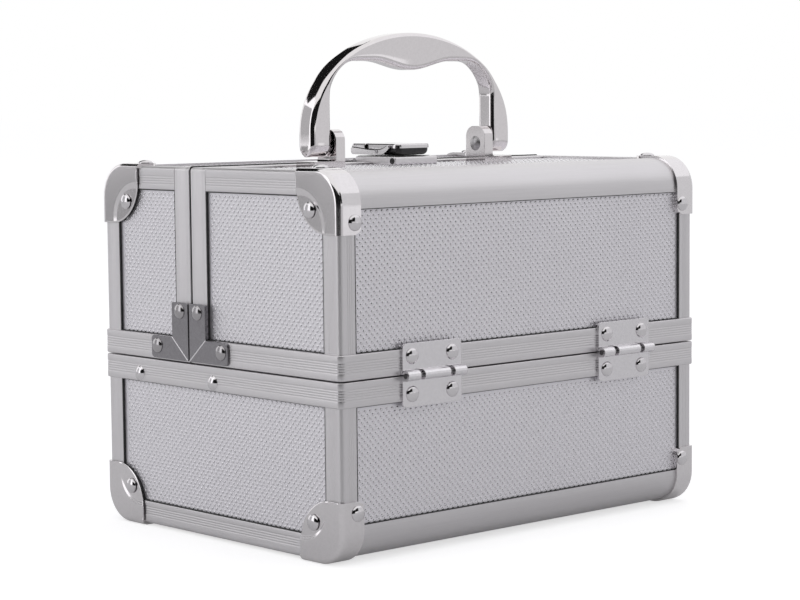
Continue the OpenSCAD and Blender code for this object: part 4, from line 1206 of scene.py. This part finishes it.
    def link(self) -> Shell:
        """The link: its hooked cap, and its two arms with rising noses.

        Returns:
            The link.
        """
        tip, back, (low, top), t = self.tip, self.tip - self.hook_l, self.hook, self.hook_t
        v = self._stations(tip - self.cap_y, self.link_r[0], 9, 6)
        hem = np.interp(tip - v, *self.wave) + self.gap[1]
        cap = self._hood(self.link_half - 0.15, hem, v, *self.link_r).mirrored(1).moved(y=tip)
        hook = np.array([[back, low], [tip, low + 0.3], [tip, top], [tip - 1, top],
                         [tip - 1, low + t], [back, low + t]])
        outline = np.vstack([self._edge(0.0), rounded_outline(self.under, 5)])
        arm = Shell.prism(outline, -self.link_half, self.arm_t - self.link_half, 0)
        inner = self.link_half - 0.9
        return Shell.join([cap, Shell.prism(hook, -inner, inner, 0), arm.with_mirror(0)])

    def shade(self) -> Shell:
        """Painted shade of the gap over the arms: a dark strip inside them that stands a little
        higher.

        Returns:
            Both strips.
        """
        low, high = (self._edge(lift)[:-3] for lift in self.gap)
        x0, x1 = np.array(self.gap_x) - self.link_half
        return Shell.prism(np.vstack([high, low[::-1]]), x0, x1, 0).with_mirror(0)

    def base_shade(self) -> Shell:
        """Painted shade on the base under the link and the lever: a dark strip where the gap under
        them lies in shade.

        Returns:
            The strip.
        """
        x, (y0, y1) = self.base_half - 0.5, self.base_shade_y
        ring = rounded_outline([(-x, y0, 1), (x, y0, 1), (x, y1, 1), (-x, y1, 1)])
        z0, z1 = self.base_top + np.array(self.base_shade_z)
        return Shell.prism(ring, z0, z1, 2)

    def base(self) -> Shell:
        """The base: a plate whose front edge rolls in two quarter circles, and two ears.

        Returns:
            The base.
        """
        low, shelf, back = SIZES.skin, SIZES.top, SIZES.near_edge - 0.02
        arc = unit(np.linspace(QUARTER, np.pi, 6)) - [0, 1]
        upper = arc + [1.0 - self.roll + self.base_y, low + 2 * self.roll]
        lower = 0.8 * arc[::-1] * [1, -1] + [0.8 - self.roll + self.base_y, low]
        step = back - SIZES.split_w
        plate = np.vstack([upper, lower, [[step, low], [step, shelf], [back, shelf],
                                          [back, self.base_top]]])
        top = [self.pivot_y, self.pivot_z] + self.ear_r * unit(np.linspace(0, np.pi, 15))
        ear = np.vstack([top, [[self.pivot_y + y, shelf + 1] for y in (-self.ear_r, self.ear_r)]])
        ears = Shell.prism(ear, -self.ear_x, self.ear_t - self.ear_x, 0).with_mirror(0)
        return Shell.join([Shell.prism(plate, -self.base_half, self.base_half, 0), ears])

    def knuckle(self) -> Shell:
        """Ends of the rod inside the base's rolled edge: a ring and a stub.

        Returns:
            Both ends.
        """
        circle = unit(np.linspace(0, 2 * np.pi, 24, endpoint=False))
        centre = [self.base_y + 0.15, SIZES.skin + self.roll - 0.1]
        return Shell.join([
            Shell.prism(centre + radius * circle, -self.base_half - proud, 1 - self.base_half, 0)
            for radius, proud in ((1.35, 0.16), (0.62, 0.26))]).with_mirror(0)

    def catch(self) -> Shell:
        """The catch on the narrow lid: a plate with a raised hook along its near edge.

        Returns:
            The catch.
        """
        y, z = SIZES.far_edge + 1.8, SIZES.top
        hook = rounded_outline([(y, z, 0.1), (y + 7.2, z, 0.1), (y + 7.2, z + 0.7, 0.3),
                                (y + 2.4, z + 0.7, 0.4), (y + 1.6, z + 1.4, 0.5),
                                (y, z + 1.4, 0.5)], 4)
        return Shell.prism(hook, -self.half, self.half, 0)

    def build(self) -> None:
        """Makes the latch's pieces."""
        make_piece("latch_plate", self.base(), SHELF_CHROME, "near_lid", ("latch_base",),
                   bevel=0.35)
        make_piece("latch_roll_pin", self.knuckle(), DARK_PIN_AND_SHADE, "near_lid")
        # This piece, the strip over the arms and the block under the lever are painted shade in the
        # latch's gaps and hollow.
        make_piece("latch_base_painted_shade", self.base_shade(), DARK_PIN_AND_SHADE, "near_lid")
        make_piece("latch_arm_gap_painted_shade", self.shade(), DARK_PIN_AND_SHADE, "latch_link")
        make_piece("latch_finger_lever", self.lever(), LATCH_CHROME, "latch_lever",
                   ("latch_lever",), sharp=50)
        make_piece("latch_lever_painted_shade", self.pad(), DARK_PIN_AND_SHADE, "latch_lever")
        make_piece("latch_claw", self.link(), LATCH_CHROME, "latch_link", ("latch_link",),
                   bevel=0.2)
        make_piece("latch_keeper", self.catch(), LATCH_CHROME, "far_lid", ("latch_catch",),
                   bevel=0.15)


@dataclass
class Frames:
    """Extruded frames with a band of fine ridges along the middle of each outer face.

    The face lies depth * (1 - cos(2 pi s / pitch)) / 2 deep inside the band, where s runs
    across the face, and round edges of radius edge end it.
    """

    depth: float = 0.11
    pitch: float = 1.0
    share: float = 0.46
    edge: float = 0.45
    wall: float = 1.9
    board: float = 3.2
    lip: float = 0.8
    web: float = 1.2
    lip_h: float = 9.0
    corner: float = 1.6

    def _face(self, width: float, rounded: bool = True) -> np.ndarray:
        """One outer face in section, with its last edge rounded.

        Args:
            width: Width of the face.
            rounded: Whether its first edge is rounded too.

        Returns:
            Array (n, 2) of the distance across the face and the depth.
        """
        count = max(2, round(width * self.share / self.pitch))
        start = (width - count * self.pitch) / 2
        s = start + np.linspace(0, count * self.pitch, count * 8 + 1)
        drop = self.depth * (1 - np.cos(2 * np.pi * (s - start) / self.pitch)) / 2
        turn = np.linspace(QUARTER, 0, 5)
        arc = self.edge * np.column_stack([1 - np.sin(turn), 1 - np.cos(turn)])
        first = arc if rounded else np.zeros((1, 2))
        return np.vstack([first, np.column_stack([s, drop]), arc[::-1] * [-1, 1] + [width, 0]])

    @staticmethod
    def _bend(x: np.ndarray, y: np.ndarray, radius: np.ndarray) -> np.ndarray:
        """Quarter rounds: (radius - x, radius - y) - radius * (cos a, sin a).

        Args:
            x: How far from the origin each section point's path runs, on the first axis.
            y: The same on the second axis.
            radius: Radius of the path's corner, kept above nought.

        Returns:
            Array (steps, section points, 2).
        """
        radius = np.clip(radius, 0.04, None)
        turn = np.linspace(0, QUARTER, 8)[:, None]
        return np.stack([radius - x - radius * np.cos(turn),
                         radius - y - radius * np.sin(turn)], -1)

    def rim(self, edge_y: float | None) -> Shell:
        """A rim from its mating face at z = 0 upwards, with its board channel and its lip.

        Args:
            edge_y: Where a lid's rim ends, or None for the base's whole loop.

        Returns:
            The rim.
        """
        s = SIZES
        wall = s.rim_proud + self.wall
        board = wall + self.board
        lip = board + self.lip
        inner = [(wall, s.rim_h), (wall, self.web), (board, self.web), (board, self.lip_h),
                 (lip, self.lip_h), (lip, 0)]
        inset, height = np.vstack([self._face(s.rim_h)[:, ::-1], inner]).T
        x, y = s.half_l + s.rim_proud - inset, s.half_d + s.rim_proud - inset
        corner = self._bend(x, y, self.corner + s.rim_proud - inset)
        second = corner[::-1] * [-1, 1]
        if edge_y is None:
            loop = np.concatenate([corner, second, -corner, -second])
        else:
            start = np.column_stack([-x, np.full(len(x), edge_y)])[None]
            loop = np.concatenate([start, corner, second, start * [-1, 1]])
        rings = np.dstack([loop, np.broadcast_to(height, loop.shape[:2])])
        return Shell.tube(rings, edge_y is None)

    def angle(self, a: float, b: float) -> np.ndarray:
        """An angle section with its outer corner at the origin.

        Args:
            a: Length of its leg along the first axis.
            b: Length of its leg along the second axis.

        Returns:
            Array (n, 2) of the section.
        """
        r, wall = self.corner, self.wall
        leg_a, leg_b = (self._face(leg - r, False) + [r, 0] for leg in (a, b))
        arc = r - r * unit(np.linspace(0, QUARTER, 8)[1:-1])
        return np.vstack([leg_b[::-1, ::-1], arc, leg_a, [[a, wall], [wall, wall], [wall, b]]])

    def split(self, edge_y: float, side: float) -> Shell:
        """A split frame: its outer band and the web over the boards' edges.

        Args:
            edge_y: Where the frame ends at the split.
            side: 1 when the frame lies before the split, -1 when it lies behind it.

        Returns:
            The two arches.
        """
        s, wall = SIZES, self.wall
        board = wall + self.board
        band = np.vstack([self._face(s.split_w), [[s.split_w, wall], [0, wall]]])
        web = np.array([[0, wall - 0.01], [self.web, wall - 0.01], [self.web, board], [0, board]])
        shells = []
        for section, low in ((band, s.lid_low), (web, s.rim_up + self.web)):
            along, inset = section.T
            x = s.half_l - inset
            bend = self._bend(x, s.top - inset, self.corner - inset) * [1, -1]
            foot = np.column_stack([-x, np.full(len(x), low)])[None]
            path = np.concatenate([foot, bend, bend[::-1] * [-1, 1], foot * [-1, 1]])
            shells.append(Shell.tube(upright(path, edge_y - side * along)))
        return Shell.join(shells)

    @staticmethod
    def _dress(body: str, word: str, shell: Shell, run: Run, node: str) -> None:
        """Makes a ridged piece that stands for a node of its body."""
        make_piece(f"{body}_ridged_{word}", shell, extrusion(run), body, (f"{body}_{node}",),
                   sharp=40)

    def build(self) -> None:
        """Makes the rims, the posts, the end rails and the split frames."""
        s = SIZES
        near = self.rim(s.near_edge).moved(z=s.rim_up)
        far = self.rim(-s.far_edge).mirrored(1).moved(z=s.rim_up)
        base = self.rim(None).mirrored(2).moved(z=s.rim_down)
        for name, rim in (("near_lid", near), ("far_lid", far), ("base", base)):
            self._dress(name, "rim", rim, Run.AROUND, "rim")
        post = self.angle(s.side_w, s.end_w) + [-s.half_l, -s.half_d]
        rail = self.angle(s.side_w, s.end_w) * [1, -1] + [-s.half_l, s.top]
        start = s.rail_w - s.half_d
        posts = Shell.prism(post, s.lid_low, s.top - s.rail_w, 2).with_mirror(0)
        for name, edge, side in (("near_lid", s.near_edge, 1), ("far_lid", s.far_edge, -1)):
            rails = Shell.prism(rail, start, side * edge - s.split_w, 1).with_mirror(0)
            if side < 0:
                posts, rails = posts.mirrored(1), rails.mirrored(1)
            self._dress(name, "posts", posts, Run.UP, "corner_posts")
            self._dress(name, "end_rails", rails, Run.DEEP, "end_rails")
            self._dress(name, "arch", self.split(edge, side), Run.ARCH, "split_frame")
        posts = Shell.prism(post, s.floor + s.rail_w, s.base_high, 2).with_mirror(0).with_mirror(1)
        rails = Shell.prism(rail * [1, -1] + [0, 2 * s.middle_z], start, -start, 1).with_mirror(0)
        self._dress("base", "posts", posts, Run.UP, "corner_posts")
        self._dress("base", "end_rails", rails, Run.DEEP, "end_rails")


# ---- CAD nodes that stay ----

RUNS = {Run.AROUND: "_rim", Run.UP: "_corner_posts", Run.DEEP: "_end_rails",
        Run.ARCH: "_split_frame",
        Run.LONG: ("_long_rails", "_long_rail", "mirror_frame", "tray_trim")}
PIVOTS = {"handle_pins": DULL_STEEL, "latch_pins": DULL_STEEL}
PLAIN = {f.slot: f for f in (SHEET, CAP_CHROME, GRIP_CHROME, LATCH_CHROME, HINGE_NICKEL,
                             RIVET_NICKEL, DARK_STEEL, ARM_STEEL, SHADED_PIN_STEEL, BOARD, FLOCK,
                             TRAY_PLASTIC, SILVER_GLASS)}


def dress_frame_nodes() -> None:
    """Gives each CAD node the finish of its drawn lines, its own, or its material slot's."""
    slots = {part["node"]: part["material_slot"] for part in frame["record"]["subparts"]}
    for name, node in frame["nodes"].items():
        run = next((run for run, ends in RUNS.items() if name.endswith(ends)), None)
        finish = extrusion(run) if run else PIVOTS.get(name, PLAIN[slots[name]])
        node.data.materials.clear()
        node.data.materials.append(finish.material())
        LOG.info("%s: %s", name, finish.name)


# ---- The studio: lengths in metres ----


def aim(place: tuple[float, float, float], height: float) -> list[np.ndarray]:
    """Axes of a thing that faces a point above the middle of the floor.

    Args:
        place: Where it stands.
        height: Height of the point that it faces.

    Returns:
        Its directions sideways, upwards and ahead.
    """
    ahead = direction(np.array([0, 0, height]) - place)
    side = direction(np.cross(ahead, [0.0, 0.0, 1.0] if abs(ahead[2]) < 0.9 else [0.0, 1.0, 0.0]))
    return [side, np.cross(side, ahead), ahead]


def stand(data: bpy.types.ID, place: tuple[float, float, float],
          axes: list[np.ndarray]) -> bpy.types.Object:
    """Puts a camera or a lamp into the scene.

    Args:
        data: The camera's or lamp's data.
        place: Where it stands.
        axes: Its directions sideways, upwards and ahead.

    Returns:
        The new object.
    """
    thing = bpy.data.objects.new(data.name, data)
    turn = Matrix(np.column_stack([axes[0], axes[1], -axes[2]]).tolist()).to_4x4()
    thing.matrix_world = Matrix.Translation(place) @ turn
    bpy.context.scene.collection.objects.link(thing)
    return thing


def stage_quad(name: str, corners: list[list[float]],
               material: bpy.types.Material) -> bpy.types.Object:
    """Puts a single quad into the scene, as a part of the studio.

    Args:
        name: Its name.
        corners: Its four corners.
        material: Its material.

    Returns:
        The new object.
    """
    mesh = bpy.data.meshes.new(name)
    mesh.from_pydata(corners, [], [(0, 1, 2, 3)])
    mesh.materials.append(material)
    quad = bpy.data.objects.new(name, mesh)
    bpy.context.scene.collection.objects.link(quad)
    return quad


@dataclass(frozen=True)
class Viewpoint:
    """The photograph's camera, as solved from the case's edges.

    Its place is in millimetres, its angles are in degrees, and its lens is in pixels.
    """

    place: tuple[float, float, float] = (-667.1, -728.8, 180.6)
    yaw: float = 42.34
    pitch: float = 5.09
    roll: float = -0.54
    focal: float = 2287.1
    centre: tuple[float, float] = (397.8, 298.6)
    image: tuple[float, float] = (800.0, 600.0)
    sensor: float = 36.0

    def build(self) -> None:
        """Makes the camera and gives it to the scene."""
        a, e, r = np.radians([self.yaw, self.pitch, self.roll])
        ahead = np.array([np.sin(a) * np.cos(e), np.cos(a) * np.cos(e), -np.sin(e)])
        right = np.array([np.cos(a), -np.sin(a), 0])
        up = np.cross(right, ahead)
        right, up = np.cos(r) * right + np.sin(r) * up, -np.sin(r) * right + np.cos(r) * up
        data = bpy.data.cameras.new("photo_view")
        data.sensor_width = self.sensor
        data.lens = self.focal / self.image[0] * self.sensor
        data.shift_x = (self.image[0] / 2 - self.centre[0]) / self.image[0]
        data.shift_y = (self.centre[1] - self.image[1] / 2) / self.image[0]
        data.clip_end = 50
        place = tuple(c * MM for c in self.place)
        bpy.context.scene.camera = stand(data, place, [right, up, ahead])


@dataclass(frozen=True)
class Lamp:
    """A square soft lamp that faces the case and isn't seen in it."""

    name: str
    place: tuple[float, float, float]
    size: float
    power: float
    aim_z: float = 0.08

    def build(self) -> None:
        """Makes the lamp."""
        data = bpy.data.lights.new(self.name, "AREA")
        data.size, data.energy = self.size, self.power
        stand(data, self.place, aim(self.place, self.aim_z)).visible_glossy = False


@dataclass(frozen=True)
class Card:
    """A studio card that only the reflections see."""

    name: str
    place: tuple[float, float, float]
    width: float
    height: float
    grey: float
    aim_z: float = 0.09

    def build(self) -> None:
        """Makes the card, facing the middle of the case."""
        material = bpy.data.materials.new(self.name)
        add, link = fresh_nodes(material)
        glow, out = add("ShaderNodeEmission"), add("ShaderNodeOutputMaterial")
        glow.inputs["Color"].default_value = (self.grey, self.grey, self.grey * 1.02, 1)
        link(glow.outputs[0], out.inputs["Surface"])
        side, up, _ = aim(self.place, self.aim_z)
        w, h = side * self.width / 2, up * self.height / 2
        corners = [(self.place + p).tolist() for p in (-w - h, w - h, w + h, h - w)]
        card = stage_quad(self.name, corners, material)
        for ray in ("camera", "diffuse", "transmission", "volume_scatter", "shadow"):
            setattr(card, f"visible_{ray}", False)


@dataclass(frozen=True)
class Studio:
    """A pale floor, a white surround, soft lamps and cards for the chrome to reflect."""

    world_light: float = 0.7
    world_tone: tuple[float, float, float] = (0.98, 0.98, 1.0)
    floor_tone: tuple[float, float, float] = (0.55, 0.55, 0.555)
    floor_glow: float = 0.62
    floor_glossy: float = 0.15
    floor_half: float = 15.0
    lamps: tuple[Lamp, ...] = (
        Lamp("left_lamp", (-2.2, -0.35, 1.0), 1.3, 9),
        Lamp("right_lamp", (1.6, -1.6, 1.3), 2.0, 4),
        Lamp("top_lamp", (0.2, -0.3, 2.4), 1.8, 8),
    )
    cards: tuple[Card, ...] = (
        Card("card_behind_camera", (-1.22, -0.8, 0.33), 3.3, 1.45, 0.01),
        Card("card_above_back", (0.0, 1.57, 1.45), 2.1, 0.7, 0.01),
        Card("card_left_wide", (-1.75, 1.75, 0.45), 2.7, 2.6, 1.35),
        Card("card_left_low", (-1.3, 1.56, -0.2), 0.52, 0.62, 0.36),
        Card("card_left_high", (-1.3, 1.56, 0.58), 0.95, 0.95, 0.52),
        Card("card_bright_left", (-1.27, 0.51, 0.52), 0.34, 1.25, 1.5),
        Card("card_behind_right", (0.17, -1.36, 0.6), 0.8, 0.78, 0.01),
        Card("card_right_front", (1.4, -1.55, 0.2), 1.7, 1.9, 0.72),
        Card("card_right_side", (1.98, -0.28, 0.25), 1.5, 1.2, 0.72),
        Card("card_right_bright", (1.15, -1.5, -0.2), 0.27, 0.6, 1.0),
        Card("card_overhead", (1.37, -0.37, 1.5), 2.2, 1.4, 1.02),
    )

    def _world(self) -> None:
        """White to the camera, to reflections and through glass, and softer as a light."""
        world = bpy.data.worlds.new("surround")
        bpy.context.scene.world = world
        add, link = fresh_nodes(world)
        ray, out = add("ShaderNodeLightPath"), add("ShaderNodeOutputWorld")
        mix = add("ShaderNodeMixShader")
        first, either = add("ShaderNodeMath"), add("ShaderNodeMath")
        first.operation = either.operation = "MAXIMUM"
        light, white = add("ShaderNodeBackground"), add("ShaderNodeBackground")
        light.inputs["Strength"].default_value = self.world_light
        light.inputs["Color"].default_value = (*self.world_tone, 1)
        white.inputs["Color"].default_value = (1, 1, 1, 1)
        link(ray.outputs["Is Camera Ray"], first.inputs[0])
        link(ray.outputs["Is Glossy Ray"], first.inputs[1])
        link(first.outputs[0], either.inputs[0])
        link(ray.outputs["Is Transmission Ray"], either.inputs[1])
        for socket, node in enumerate((either, light, white)):
            link(node.outputs[0], mix.inputs[socket])
        link(mix.outputs[0], out.inputs["Surface"])

    def _floor(self) -> None:
        """A pale floor that shows white to the camera and keeps the shadow."""
        material = bpy.data.materials.new("pale_floor")
        add, link = fresh_nodes(material)
        ray, out = add("ShaderNodeLightPath"), add("ShaderNodeOutputMaterial")
        both = add("ShaderNodeAddShader")
        matt, glow = add("ShaderNodeBsdfDiffuse"), add("ShaderNodeEmission")
        seen, share, less = (add("ShaderNodeMath") for _ in range(3))
        matt.inputs["Color"].default_value = (*self.floor_tone, 1)
        seen.operation, share.operation, less.operation = "MAXIMUM", "MULTIPLY", "MULTIPLY"
        share.inputs[1].default_value = self.floor_glow
        less.inputs[1].default_value = self.floor_glossy
        link(ray.outputs["Is Camera Ray"], seen.inputs[0])
        link(ray.outputs["Is Glossy Ray"], less.inputs[0])
        link(less.outputs[0], seen.inputs[1])
        link(seen.outputs[0], share.inputs[0])
        link(share.outputs[0], glow.inputs["Strength"])
        link(matt.outputs[0], both.inputs[0])
        link(glow.outputs[0], both.inputs[1])
        link(both.outputs[0], out.inputs["Surface"])
        h = self.floor_half
        stage_quad("floor", [(-h, -h, 0), (h, -h, 0), (h, h, 0), (-h, h, 0)], material)

    def build(self) -> None:
        """Makes the surround, the floor, the lamps and the cards."""
        self._world()
        self._floor()
        for thing in (*self.lamps, *self.cards):
            thing.build()
        bpy.context.scene.view_settings.view_transform = "Standard"


def main() -> None:
    """Builds the studio and every piece."""
    logging.basicConfig(level=logging.INFO, format="%(message)s")
    Viewpoint().build()
    Studio().build()
    dress_frame_nodes()
    for assembly in (Frames(), ShadowGaps(), DimpledSheets(), Rivets(), CornerCaps(), SplitBrackets(),
                     Grip(), Latch()):
        assembly.build()


if __name__ == "__main__":
    main()
